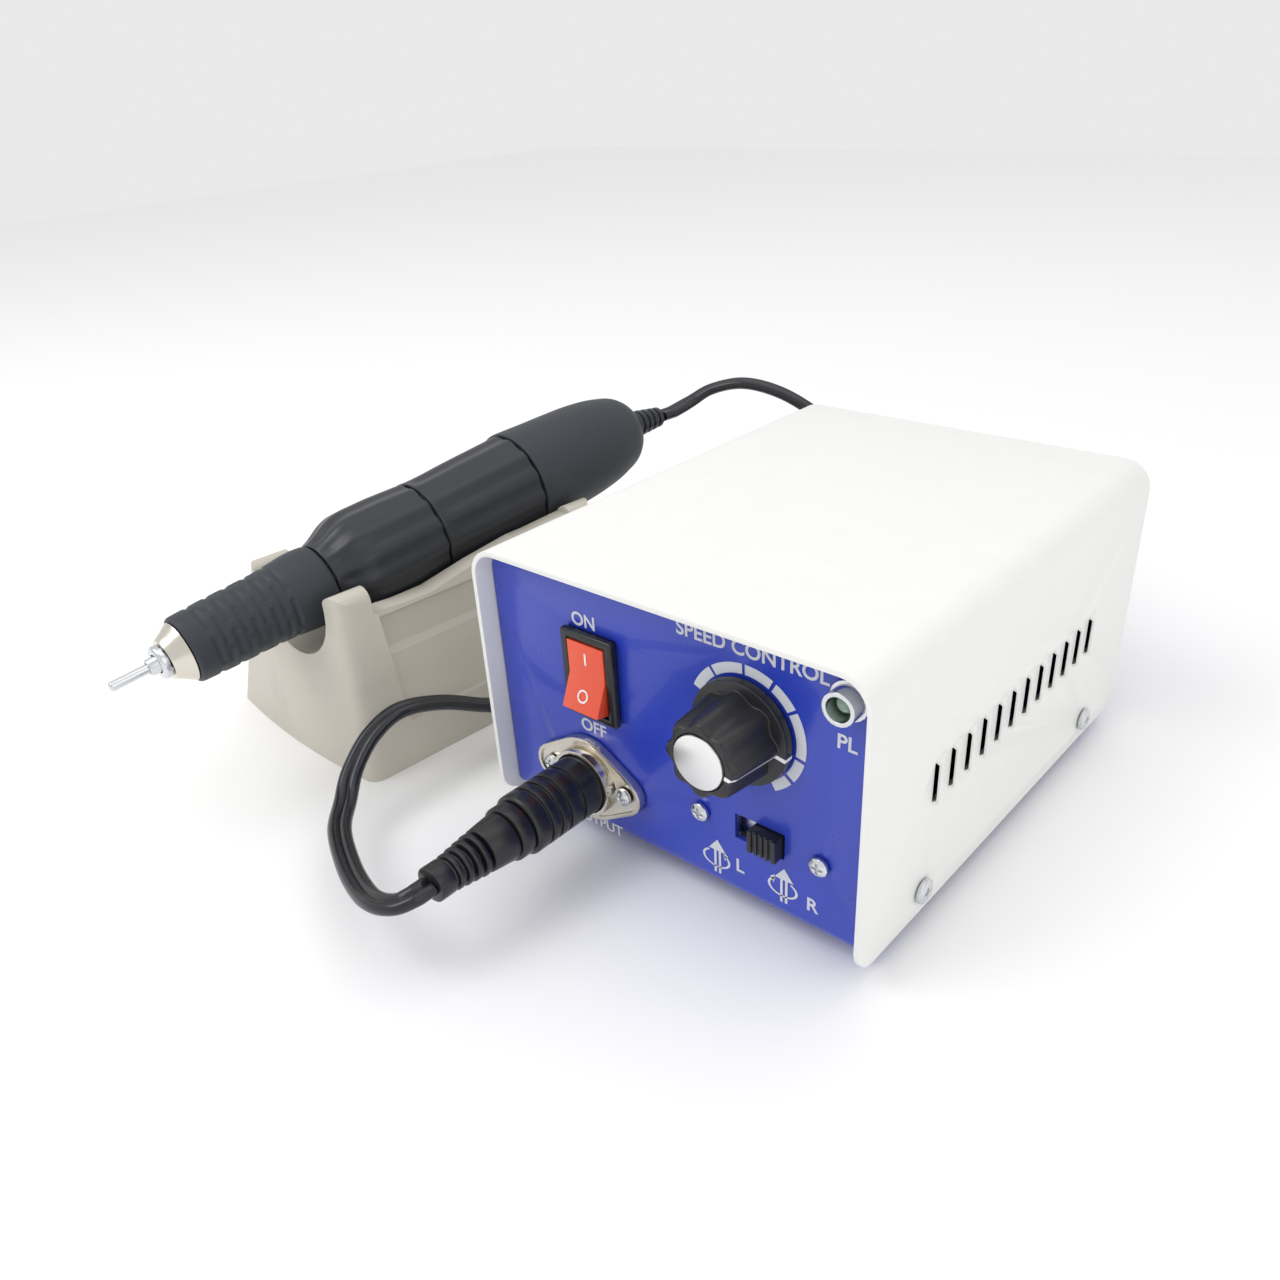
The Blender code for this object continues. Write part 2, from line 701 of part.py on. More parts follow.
def several(names, pattern, places, finish):
    """Equal pieces on the bench, one node each: the pattern's shape at each place."""
    mesh = solid_copy(pattern)
    bpy.data.objects.remove(pattern, do_unlink=True)
    for name, place in zip(names, places):
        link(name, mesh, finish, BENCH).matrix_basis = place


def screw_pattern(head, shank):
    """A pan head screw with a cross recess. Its head's underside is at height zero."""
    top = SCREW_HEAD_HEIGHT
    outer = [(-SCREW_LENGTH, shank), (0, shank), (0, head)]
    outer += shares_to_profile(SCREW_HEAD_SHARES, 0, top, head)
    made = turned("screw_pattern", outer, COARSE, STEEL, None)
    bars = [box_mesh((CROSS_LENGTH, CROSS_WIDTH, CROSS_DEPTH * 2), (0, 0, top)),
            box_mesh((CROSS_WIDTH, CROSS_LENGTH, CROSS_DEPTH * 2), (0, 0, top))]
    for bar in bars:
        cut(made, link("screw_cross", bar, None, None, cutter=True))
    return made


def hex_nut(name, radius, height, bore, finish, parent, location=(0, 0, 0),
            rotation=(0, 0, 0)):
    """A hexagonal nut from its location along its own +Z."""
    nut = link(name, rod_mesh(radius, height, 6), finish, parent, location, rotation)
    rod = rod_mesh(bore, height + OVERRUN * 2, COARSE, (0, 0, -OVERRUN))
    cut(nut, link("nut_bore", rod, None, parent, location, rotation, cutter=True))
    return nut


def shares_to_profile(shares, start, length, radius):
    """Heights and radii from shares of a length and of the greatest radius."""
    return [(start + along * length, out * radius) for along, out in shares]


# Control box: cover
def cover_outline(inset, drop=0.0):
    """The cover's shouldered outline seen from the front, open at the bottom."""
    radius = COVER_BEND - inset
    left = inset
    right = COVER_WIDTH - inset
    top = COVER_HEIGHT - inset
    points = [(left, -drop)]
    points += arc(left + radius, top - radius, radius, math.pi, math.pi / 2, 8)
    points += arc(right - radius, top - radius, radius, math.pi / 2, 0, 8)
    points += [(right, -drop)]
    return points


def folded_sheet(name, rows, thickness, finish, location):
    """A folded sheet from two equal lines of points, thickened inwards."""
    def fill(shape):
        near = [shape.verts.new(point) for point in rows[0]]
        far = [shape.verts.new(point) for point in rows[1]]
        for index in range(len(near) - 1):
            shape.faces.new((near[index], near[index + 1], far[index + 1], far[index]))
    sheet = link(name, mesh_from(fill, name), finish, BENCH, location)
    shell = sheet.modifiers.new("sheet", "SOLIDIFY")
    shell.thickness = thickness
    shell.offset = -1.0
    shell.use_even_offset = True
    return sheet


def side_rods(radius):
    """Rods through both sides of the box at the cover screws."""
    turn = Matrix.Rotation(math.pi / 2, 4, "Y")
    return merged([rod_mesh(radius, COVER_WIDTH + OVERRUN * 2, COARSE,
                            (-OVERRUN, y, FOOT_HEIGHT + SCREW_Z), turn)
                   for y in (SCREW_FRONT_Y, SCREW_REAR_Y)])


def louvre_wedges(rise, half, front, depth):
    """One wedge for each louvre on both sides. It is rise high above the sheet at its front
    edge and falls along the hood's slope to the given depth under the sheet's face."""
    slope = LOUVRE_LENGTH / LOUVRE_RISE
    rear = (rise + depth) * slope
    narrow = half - LOUVRE_RISE
    wedges = []
    for face, side in ((0.0, -1), (COVER_WIDTH, 1)):
        for number in range(LOUVRE_COUNT):
            y = LOUVRE_FIRST_Y + number * LOUVRE_PITCH
            corners = []
            for up in (-1, 1):
                corners.append((face + side * rise, y - front, LOUVRE_Z + up * narrow))
                corners.append((face - side * depth, y - front, LOUVRE_Z + up * half))
                corners.append((face - side * depth, y + rear, LOUVRE_Z + up * half))
            wedges.append(hull_mesh(corners))
    return merged(wedges)


def make_cover():
    outline = cover_outline(0.0)
    rows = [[(x, y, z) for x, z in outline] for y in (0.0, COVER_DEPTH)]
    cover = folded_sheet("cover", rows, SHEET, WHITE_POWDER, (0, 0, FOOT_HEIGHT))
    radius = COVER_FOOT_CORNER
    corner = [(-OVERRUN, -OVERRUN), (radius, -OVERRUN)]
    corner += arc(radius, radius, radius, -math.pi / 2, -math.pi, 5)
    corner += [(-OVERRUN, radius)]
    for y, flip in ((0.0, 1.0), (COVER_DEPTH, -1.0)):
        points = [(flip * across, up) for across, up in corner]
        mesh = outline_mesh(points, COVER_WIDTH + OVERRUN * 2)
        cut(cover, link("foot_corner", mesh, None, BENCH, (-OVERRUN, y, FOOT_HEIGHT),
                        (math.pi / 2, 0, math.pi / 2), cutter=True))
    half = LOUVRE_HEIGHT / 2
    hoods = louvre_wedges(LOUVRE_RISE, half, 0.0, SHEET / 3)
    cut(cover, link("louvre_hoods", hoods, None, BENCH, (0, 0, FOOT_HEIGHT), cutter=True),
        "UNION")
    hollows = louvre_wedges(LOUVRE_RISE - LOUVRE_SKIN, half - LOUVRE_SKIN, LOUVRE_SLIT,
                            SHEET + CLEARANCE)
    cut(cover, link("louvre_hollows", hollows, None, BENCH, (0, 0, FOOT_HEIGHT), cutter=True))
    cut(cover, link("cover_screw_holes", side_rods(SCREW_HOLE_RADIUS), None, BENCH,
                    cutter=True))


# Control box: chassis, feet and screws
def panel_hole(target, x, z, radius, sides=COARSE):
    """A round hole through the front wall."""
    rod = rod_mesh(radius, CHASSIS_SHEET + OVERRUN * 2, sides)
    place = (x, PANEL_SETBACK - OVERRUN, FOOT_HEIGHT + z)
    cut(target, link("panel_hole", rod, None, BENCH, place, OUT_OF_REAR, cutter=True))


def rear_hole(target, x, radius):
    rod = rod_mesh(radius, CHASSIS_SHEET + OVERRUN * 2, COARSE)
    place = (x, REAR_FACE_Y - CHASSIS_SHEET - OVERRUN, FOOT_HEIGHT + REAR_FITTING_Z)
    cut(target, link("rear_hole", rod, None, BENCH, place, OUT_OF_REAR, cutter=True))


def make_chassis():
    depth = REAR_FACE_Y - PANEL_SETBACK
    radius = CHASSIS_BEND
    profile = [(0.0, COVER_HEIGHT)]
    profile += arc(radius, radius, radius, math.pi, math.pi * 1.5, 4)
    profile += arc(depth - radius, radius, radius, math.pi * 1.5, math.tau, 4)
    profile += [(depth, COVER_HEIGHT)]
    rows = [[(x, y, z) for y, z in profile] for x in (0.0, COVER_WIDTH)]
    chassis = folded_sheet("chassis", rows, CHASSIS_SHEET, BLUE_PAINT,
                           (0, PANEL_SETBACK, CHASSIS_FLOOR_Z))
    inset = SHEET + CLEARANCE
    mesh = outline_mesh(cover_outline(inset, OVERRUN), COVER_DEPTH + OVERRUN * 2)
    cut(chassis, link("cover_inside", mesh, None, BENCH,
                      (0, COVER_DEPTH + OVERRUN, FOOT_HEIGHT), OUT_OF_PANEL, cutter=True),
        "INTERSECT")
    low = CHASSIS_FLOOR_Z + CHASSIS_SHEET / 2
    tabs = [box_mesh((SHEET, TAB_WIDTH, TAB_HEIGHT), (x, y, low + TAB_HEIGHT / 2))
            for x in (inset + SHEET / 2, COVER_WIDTH - inset - SHEET / 2)
            for y in (SCREW_FRONT_Y, SCREW_REAR_Y)]
    cut(chassis, link("tabs", merged(tabs), None, BENCH, cutter=True), "UNION")
    cut(chassis, link("tab_holes", side_rods(SCREW_HOLE_RADIUS), None, BENCH, cutter=True))

    panel_hole(chassis, SOCKET_X, SOCKET_Z, BARREL_RADIUS + CLEARANCE, ROUND)
    panel_hole(chassis, KNOB_X, KNOB_Z, BUSHING_RADIUS + CLEARANCE)
    panel_hole(chassis, LAMP_X, LAMP_Z, LAMP_TAIL_RADIUS + CLEARANCE)
    for side in (-1, 1):
        panel_hole(chassis, SOCKET_X + side * FLANGE_SCREW_REACH, SOCKET_Z, PANEL_HOLE_RADIUS)
        panel_hole(chassis, SLIDE_X + side * SLIDE_SCREW_REACH, SLIDE_Z, PANEL_HOLE_RADIUS)
    rear_hole(chassis, GLAND_X, GLAND_BODY_RADIUS + CLEARANCE)
    rear_hole(chassis, FUSE_X, FUSE_BODY_RADIUS + CLEARANCE)
    rear_hole(chassis, JACK_X, JACK_BODY_RADIUS + CLEARANCE)
    through = (CHASSIS_SHEET + OVERRUN) * 2
    around = (SWITCH_WALL + CLEARANCE) * 2
    cut(chassis, block("rocker_cutout", (WELL_WIDTH + around, through, WELL_HEIGHT + around),
                       (ROCKER_X, PANEL_SETBACK, FOOT_HEIGHT + ROCKER_Z), None, BENCH, True))
    slot = (SLIDER_WIDTH + SLIDER_TRAVEL + SLIDER_GAP * 2, through,
            SLIDER_HEIGHT + SLIDER_GAP * 2)
    cut(chassis, block("slide_slot", slot, (SLIDE_X, PANEL_SETBACK, FOOT_HEIGHT + SLIDE_Z),
                       None, BENCH, True))


def make_feet():
    height = CHASSIS_FLOOR_Z - CLEARANCE
    pattern = turned("foot_pattern", [(0, FOOT_TIP_RADIUS), (height, FOOT_RADIUS)], COARSE,
                     RUBBER, None)
    places = [Matrix.Translation((x, y, 0))
              for x in (FOOT_INSET_X, COVER_WIDTH - FOOT_INSET_X)
              for y in (FOOT_INSET_Y, COVER_DEPTH - FOOT_INSET_Y)]
    names = [f"foot_{end}_{side}" for side in ("left", "right") for end in ("front", "rear")]
    several(names, pattern, places, RUBBER)


def make_cover_screws():
    names = []
    places = []
    for end, y in (("front", SCREW_FRONT_Y), ("rear", SCREW_REAR_Y)):
        for hand, x, side in (("left", -CLEARANCE, -1),
                              ("right", COVER_WIDTH + CLEARANCE, 1)):
            turn = Matrix.Rotation(side * math.pi / 2, 4, "Y")
            names.append(f"cover_screw_{end}_{hand}")
            places.append(Matrix.Translation((x, y, FOOT_HEIGHT + SCREW_Z)) @ turn)
    several(names, screw_pattern(SCREW_HEAD_RADIUS, SCREW_SHANK_RADIUS), places, STEEL)


# Control box: rocker switch
def make_rocker_switch():
    z = FOOT_HEIGHT + ROCKER_Z
    back = PANEL_SETBACK - CLEARANCE
    front = back - BEZEL_RISE
    housing = block("rocker_housing", (BEZEL_WIDTH, BEZEL_RISE, BEZEL_HEIGHT),
                    (ROCKER_X, (front + back) / 2, z), BLACK_PLASTIC, BENCH)
    soften(housing, BEZEL_ROUND)
    start = (front + back) / 2
    end = back + SWITCH_DEPTH
    size = (WELL_WIDTH + SWITCH_WALL * 2, end - start, WELL_HEIGHT + SWITCH_WALL * 2)
    cut(housing, block("rocker_body", size, (ROCKER_X, (start + end) / 2, z), None, BENCH,
                       True), "UNION")
    size = (WELL_WIDTH, WELL_DEPTH + OVERRUN, WELL_HEIGHT)
    middle = front + (WELL_DEPTH - OVERRUN) / 2
    cut(housing, block("rocker_well", size, (ROCKER_X, middle, z), None, BENCH, True))

    pivot_y = front + ROCKER_PIVOT_SINK
    width = WELL_WIDTH - CLEARANCE * 2
    reach = width / 2 + ROCKER_PIN_REACH
    hole = rod_mesh(ROCKER_PIN_RADIUS + CLEARANCE, (reach + CLEARANCE) * 2, COARSE)
    cut(housing, link("rocker_pin_holes", hole, None, BENCH,
                      (ROCKER_X - reach - CLEARANCE, pivot_y, z), ALONG_X, cutter=True))

    pivot = empty("rocker_pivot", (ROCKER_X, pivot_y, z), (-ROCKER_TILT, 0, 0), BENCH)
    points = arc(0.0, -ROCKER_SKIRT, ROCKER_HUB, -math.pi, 0, 8)
    ends = SEAM - ROCKER_SKIRT
    points += [(ROCKER_REACH, ends), (ROCKER_REACH, ROCKER_CREST), (0.0, ROCKER_VALLEY),
               (-ROCKER_REACH, ROCKER_CREST), (-ROCKER_REACH, ends)]
    mesh = outline_mesh(points, width)
    upright = Matrix(((0, 0, 1, -width / 2), (0, -1, 0, 0), (1, 0, 0, 0), (0, 0, 0, 1)))
    mesh.transform(upright)
    rocker = link("rocker", mesh, RED_PLASTIC, pivot)
    pins = rod_mesh(ROCKER_PIN_RADIUS, reach * 2, COARSE)
    cut(rocker, link("rocker_pins", pins, None, pivot, (-reach, 0, 0), ALONG_X, cutter=True),
        "UNION")


# Control box: output socket
def flange_outline(inset):
    """The rhombic flange: a middle circle and two end circles joined by their tangents."""
    middle = FLANGE_CENTRE_RADIUS - inset
    end = FLANGE_END_RADIUS - inset
    lean = math.acos((middle - end) / FLANGE_SCREW_REACH)
    points = arc(FLANGE_SCREW_REACH, 0, end, -lean, lean, 5)
    points += arc(0, 0, middle, lean, math.pi - lean, 5)
    points += arc(-FLANGE_SCREW_REACH, 0, end, math.pi - lean, math.pi + lean, 5)
    points += arc(0, 0, middle, math.pi + lean, math.tau - lean, 5)
    return points


def contact_places():
    """Where the contacts lie, on the lower half of a circle about the socket's axis."""
    places = []
    for number in range(CONTACT_COUNT):
        angle = math.pi + CONTACT_SPAN * number / (CONTACT_COUNT - 1)
        places.append((CONTACT_CIRCLE * math.cos(angle), CONTACT_CIRCLE * math.sin(angle)))
    return places


def make_panel_screws(name, x, z, reach, head_y):
    """A pair of screws with their heads' underside at head_y."""
    turn = Matrix.Rotation(math.pi / 2, 4, "X")
    places = [Matrix.Translation((x + side * reach, head_y, FOOT_HEIGHT + z)) @ turn
              for side in (-1, 1)]
    names = [f"{name}_screw_{hand}" for hand in ("left", "right")]
    several(names, screw_pattern(PANEL_HEAD_RADIUS, PANEL_SHANK_RADIUS), places, STEEL)


def make_socket():
    z = FOOT_HEIGHT + SOCKET_Z
    place = (SOCKET_X, PANEL_SETBACK - CLEARANCE, z)
    face = FLANGE_THICKNESS + FLANGE_RIM_RISE
    flange = link("socket_flange", outline_mesh(flange_outline(0.0), face), NICKEL, BENCH,
                  place, OUT_OF_PANEL)
    recess = outline_mesh(flange_outline(FLANGE_RIM_WIDTH), OVERRUN)
    recess.transform(Matrix.Translation((0, 0, FLANGE_THICKNESS)))
    cut(flange, link("flange_recess", recess, None, BENCH, place, OUT_OF_PANEL, cutter=True))
    top = face + BARREL_FRONT
    barrel = rod_mesh(BARREL_RADIUS, BARREL_REAR + top, ROUND, (0, 0, -BARREL_REAR))
    cut(flange, link("socket_barrel", barrel, None, BENCH, place, OUT_OF_PANEL, cutter=True),
        "UNION")
    hole = rod_mesh(BARREL_BORE, BARREL_REAR + top + OVERRUN * 2, ROUND,
                    (0, 0, -BARREL_REAR - OVERRUN))
    cut(flange, link("socket_bore", hole, None, BENCH, place, OUT_OF_PANEL, cutter=True))
    for side in (-1, 1):
        hole = rod_mesh(PANEL_HOLE_RADIUS, face + OVERRUN * 2, COARSE,
                        (side * FLANGE_SCREW_REACH, 0, -OVERRUN))
        cut(flange, link("flange_screw_hole", hole, None, BENCH, place, OUT_OF_PANEL,
                         cutter=True))

    place = (SOCKET_X, PANEL_SETBACK, z)
    insert_face = -PLUG_NOSE - CLEARANCE
    rod = rod_mesh(BARREL_BORE - CLEARANCE, INSERT_LENGTH, ROUND,
                   (0, 0, insert_face - INSERT_LENGTH))
    insert = link("socket_insert", rod, BLACK_PLASTIC, BENCH, place, OUT_OF_PANEL)
    depth = PLUG_PIN_REACH + CLEARANCE
    holes = [rod_mesh(PLUG_PIN_RADIUS + CLEARANCE, depth + OVERRUN, SMALL,
                      (x, y, insert_face - depth)) for x, y in contact_places()]
    cut(insert, link("contact_holes", merged(holes), None, BENCH, place, OUT_OF_PANEL,
                     cutter=True))
    make_panel_screws("socket", SOCKET_X, SOCKET_Z, FLANGE_SCREW_REACH,
                      PANEL_SETBACK - CLEARANCE * 2 - FLANGE_THICKNESS)


# The cord's plug
def make_plug():
    place = (SOCKET_X, PANEL_SETBACK, FOOT_HEIGHT + SOCKET_Z)
    grooves = [PLUG_SEAM]
    grooves += [PLUG_GROOVE_FIRST + PLUG_GROOVE_PITCH * step
                for step in range(PLUG_GROOVE_COUNT)]
    outer = [(-PLUG_NOSE, PLUG_RADIUS - PLUG_GROOVE),
             (-PLUG_NOSE + PLUG_GROOVE, PLUG_RADIUS)]
    for groove in grooves:
        low = groove - PLUG_GROOVE_WIDTH / 2
        high = groove + PLUG_GROOVE_WIDTH / 2
        outer += [(low, PLUG_RADIUS), (low, PLUG_RADIUS - PLUG_GROOVE),
                  (high, PLUG_RADIUS - PLUG_GROOVE), (high, PLUG_RADIUS)]
    outer += [(PLUG_SHELL_END - PLUG_GROOVE, PLUG_RADIUS),
              (PLUG_SHELL_END, PLUG_RADIUS - PLUG_GROOVE)]
    shell = turned("plug_shell", outer, ROUND, BLACK_PLASTIC, BENCH, place, OUT_OF_PANEL)
    pins = [rod_mesh(PLUG_PIN_RADIUS, PLUG_PIN_REACH + PLUG_PIN_ROOT, SMALL,
                     (x, y, -PLUG_NOSE - PLUG_PIN_REACH)) for x, y in contact_places()]
    cut(shell, link("plug_pins", merged(pins), None, BENCH, place, OUT_OF_PANEL,
                    cutter=True), "UNION")

    ring = PLUG_SHELL_END + CLEARANCE
    end = ring + PLUG_RING_LENGTH
    edge = PLUG_GROOVE / 2
    outer = [(ring, PLUG_RING_RADIUS - edge), (ring + edge, PLUG_RING_RADIUS),
             (end - edge, PLUG_RING_RADIUS), (end, PLUG_RING_RADIUS - edge)]
    turned("plug_ring", outer, ROUND, BLACK_PLASTIC, BENCH, place, OUT_OF_PANEL)

    start = end + CLEARANCE
    ribs = start + BOOT_TAPER_LENGTH
    outer = [(start, BOOT_RADIUS), (ribs, BOOT_WAIST_RADIUS), (ribs, BOOT_CORE_RADIUS)]
    pitch = BOOT_RIB_ZONE / (BOOT_RIB_COUNT + BOOT_GAP_SHARE)
    for number in range(BOOT_RIB_COUNT):
        low = ribs + pitch * (number + BOOT_GAP_SHARE)
        high = ribs + pitch * (number + 1)
        fade = (number + 0.5) / BOOT_RIB_COUNT
        radius = BOOT_WAIST_RADIUS + (BOOT_END_RADIUS - BOOT_WAIST_RADIUS) * fade
        outer += [(low, BOOT_CORE_RADIUS), (low, radius), (high, radius),
                  (high, BOOT_CORE_RADIUS)]
    block_start = ribs + BOOT_RIB_ZONE
    block_end = block_start + BOOT_END_LENGTH
    outer += [(block_start, BOOT_CORE_RADIUS), (block_start, BOOT_END_RADIUS),
              (block_end, BOOT_END_RADIUS)]
    turned("plug_boot", outer, ROUND, BLACK_PLASTIC, BENCH, place, OUT_OF_PANEL)
    return block_end


# Control box: speed control
def make_speed_control():
    place = (KNOB_X, PANEL_SETBACK, FOOT_HEIGHT + KNOB_Z)
    pivot = empty("knob_pivot", place, OUT_OF_PANEL, BENCH)
    top = KNOB_LIFT + KNOB_LENGTH
    skirt = KNOB_LIFT + KNOB_SKIRT_THICKNESS
    rings = [ring_points(KNOB_LIFT, KNOB_SKIRT_RADIUS, KNURLED),
             ring_points(skirt - KNOB_ROUND, KNOB_SKIRT_RADIUS, KNURLED),
             ring_points(skirt, KNOB_SKIRT_RADIUS - KNOB_ROUND, KNURLED)]
    for height, radius in ((skirt, KNOB_RADIUS), (top - KNOB_ROUND, KNOB_FACE_RADIUS),
                           (top, KNOB_FACE_RADIUS - KNOB_ROUND)):
        rings.append(ring_points(height, radius, KNURLED, KNOB_LOBES, KNOB_LOBE_DEPTH))
    knob = lofted("speed_knob", rings, BLACK_PLASTIC, pivot)
    nut_room = POT_NUT_RADIUS + SEAM
    seat = CAP_RADIUS + CLEARANCE
    for name, radius, low, high, sides in (
            ("knob_nut_recess", nut_room, KNOB_LIFT - OVERRUN, KNOB_LIFT + KNOB_NUT_RECESS,
             ROUND),
            ("knob_bore", SHAFT_BORE, KNOB_LIFT, SHAFT_REACH + CLEARANCE, COARSE),
            ("knob_cap_seat", seat, top - CAP_SINK - CLEARANCE, top + OVERRUN, ROUND)):
        rod = rod_mesh(radius, high - low, sides, (0, 0, low))
        cut(knob, link(name, rod, None, pivot, cutter=True))
    groove = box_mesh((KNOB_SKIRT_RADIUS, POINTER_WIDTH, POINTER_DEPTH * 2),
                      (CAP_RADIUS + KNOB_SKIRT_RADIUS / 2, 0, top))
    groove.transform(Matrix.Rotation(KNOB_REST_ANGLE, 4, "Z"))
    cut(knob, link("pointer_groove", groove, None, pivot, cutter=True))

    low = top - CAP_SINK
    high = low + CAP_THICKNESS
    edge = CAP_THICKNESS / 4
    turned("knob_cap", [(low, CAP_RADIUS), (high - edge, CAP_RADIUS), (high, CAP_RADIUS - edge)],
           ROUND, SPUN_ALUMINIUM, pivot)
    turned("speed_shaft", [(-SHAFT_TAIL, SHAFT_RADIUS), (SHAFT_REACH, SHAFT_RADIUS)],
           COARSE, STEEL, pivot)

    back = -CHASSIS_SHEET - CLEARANCE
    can = [(back - POT_DEPTH, POT_RADIUS), (back, POT_RADIUS), (back, BUSHING_RADIUS),
           (BUSHING_REACH, BUSHING_RADIUS)]
    turned("potentiometer", can, ROUND, STEEL, BENCH, place, OUT_OF_PANEL,
           inner=[(back - POT_DEPTH, SHAFT_BORE), (BUSHING_REACH, SHAFT_BORE)])
    nut_place = (KNOB_X, PANEL_SETBACK - CLEARANCE, FOOT_HEIGHT + KNOB_Z)
    hex_nut("potentiometer_nut", POT_NUT_RADIUS, POT_NUT_HEIGHT, BUSHING_RADIUS + CLEARANCE,
            NICKEL, BENCH, nut_place, OUT_OF_PANEL)


# Control box: pilot lamp
def make_lamp():
    place = (LAMP_X, PANEL_SETBACK, FOOT_HEIGHT + LAMP_Z)
    low = CLEARANCE
    flange = low + LAMP_FLANGE_THICKNESS
    outer = [(-LAMP_TAIL, LAMP_TAIL_RADIUS), (low, LAMP_TAIL_RADIUS),
             (low, LAMP_FLANGE_RADIUS), (flange, LAMP_FLANGE_RADIUS),
             (flange, LAMP_RING_RADIUS), (LAMP_RISE, LAMP_RING_RADIUS)]
    bore = LENS_RADIUS + CLEARANCE
    turned("lamp_bezel", outer, ROUND, STEEL, BENCH, place, OUT_OF_PANEL,
           inner=[(-LAMP_TAIL, bore), (LAMP_RISE, bore)])
    top = LAMP_RISE - LENS_SINK
    shoulder = top - LENS_RADIUS
    lens = [(top - LENS_LENGTH, LENS_RADIUS), (shoulder, LENS_RADIUS)]
    for angle in (math.radians(30), math.radians(60), math.radians(80)):
        lens.append((shoulder + LENS_RADIUS * math.sin(angle), LENS_RADIUS * math.cos(angle)))
    turned("lamp_lens", lens, COARSE, GREEN_LENS, BENCH, place, OUT_OF_PANEL)


# Control box: slide switch
def make_slide_switch():
    z = FOOT_HEIGHT + SLIDE_Z
    back = PANEL_BACK_Y + CLEARANCE
    foot_width = SLIDER_WIDTH + SLIDER_FOOT_LIP * 2
    foot_height = SLIDER_HEIGHT + SLIDER_FOOT_LIP * 2
    well_width = foot_width + SLIDER_TRAVEL + SLIDER_GAP * 2
    well_height = foot_height + SLIDER_GAP * 2
    ear_width = (SLIDE_SCREW_REACH + SLIDE_EAR_MARGIN) * 2
    body = block("slide_switch_body", (ear_width, SLIDE_EAR_THICKNESS, SLIDE_EAR_HEIGHT),
                 (SLIDE_X, back + SLIDE_EAR_THICKNESS / 2, z), STEEL, BENCH)
    case = (well_width + SLIDE_CASE_WALL * 2, SLIDE_CASE_DEPTH,
            well_height + SLIDE_CASE_WALL * 2)
    cut(body, block("slide_case", case, (SLIDE_X, back + SLIDE_CASE_DEPTH / 2, z), None, BENCH,
                    True), "UNION")
    well_depth = SLIDER_FOOT_THICKNESS + CLEARANCE * 2
    well = (well_width, well_depth + OVERRUN, well_height)
    cut(body, block("slide_well", well, (SLIDE_X, back + (well_depth - OVERRUN) / 2, z), None,
                    BENCH, True))
    for side in (-1, 1):
        rod = rod_mesh(PANEL_HOLE_RADIUS, SLIDE_EAR_THICKNESS + OVERRUN * 2, COARSE)
        cut(body, link("slide_ear_hole", rod, None, BENCH,
                       (SLIDE_X + side * SLIDE_SCREW_REACH, back - OVERRUN, z), OUT_OF_REAR,
                       cutter=True))

    x = SLIDE_X + SLIDER_TRAVEL / 2
    foot_front = back + CLEARANCE
    foot = (foot_width, SLIDER_FOOT_THICKNESS, foot_height)
    slider = block("slide_button", foot, (x, foot_front + SLIDER_FOOT_THICKNESS / 2, z),
                   BLACK_PLASTIC, BENCH)
    front = PANEL_SETBACK - SLIDER_RISE
    rear = foot_front + SLIDER_FOOT_THICKNESS / 2
    stem = (SLIDER_WIDTH, rear - front, SLIDER_HEIGHT)
    cut(slider, block("slide_stem", stem, (x, (front + rear) / 2, z), None, BENCH, True),
        "UNION")
    pitch = SLIDER_WIDTH / (SLIDER_RIDGES + 1)
    grooves = [box_mesh((pitch / 2, SLIDER_RIDGE_DEPTH * 2, SLIDER_HEIGHT + OVERRUN),
                        (x + pitch * (step - (SLIDER_RIDGES - 1) / 2), front, z))
               for step in range(SLIDER_RIDGES)]
    cut(slider, link("slide_grooves", merged(grooves), None, BENCH, cutter=True))
    make_panel_screws("slide_switch", SLIDE_X, SLIDE_Z, SLIDE_SCREW_REACH,
                      PANEL_SETBACK - CLEARANCE)


# Control box: power supply
def make_transformer():
    foot_z = FLOOR_TOP_Z + CLEARANCE
    z = foot_z + CORE_HEIGHT / 2
    core = block("transformer_core", (CORE_WIDTH, CORE_DEPTH, CORE_HEIGHT),
                 (TRANSFORMER_X, TRANSFORMER_Y, z), IRON, BENCH)
    foot = (CORE_FOOT_WIDTH, CORE_DEPTH, CORE_FOOT_THICKNESS)
    cut(core, block("core_foot", foot,
                    (TRANSFORMER_X, TRANSFORMER_Y, foot_z + CORE_FOOT_THICKNESS / 2), None,
                    BENCH, True), "UNION")
    window_width = (CORE_WIDTH - CORE_LIMB * 4) / 2
    window_height = CORE_HEIGHT - CORE_LIMB * 2
    for side in (-1, 1):
        x = TRANSFORMER_X + side * (CORE_LIMB + window_width / 2)
        cut(core, block("core_window", (window_width, CORE_DEPTH + OVERRUN, window_height),
                        (x, TRANSFORMER_Y, z), None, BENCH, True))
    size = (CORE_LIMB * 2 + (window_width - CLEARANCE) * 2, WINDING_DEPTH,
            window_height - CLEARANCE * 2)
    winding = block("transformer_winding", size, (TRANSFORMER_X, TRANSFORMER_Y, z), COPPER,
                    BENCH)
    soften(winding, CORE_LIMB / 4)
    hole = (CORE_LIMB * 2 + CLEARANCE * 2, CORE_DEPTH + CLEARANCE * 2, CORE_HEIGHT)
    cut(winding, block("winding_window", hole, (TRANSFORMER_X, TRANSFORMER_Y, z), None, BENCH,
                       True))


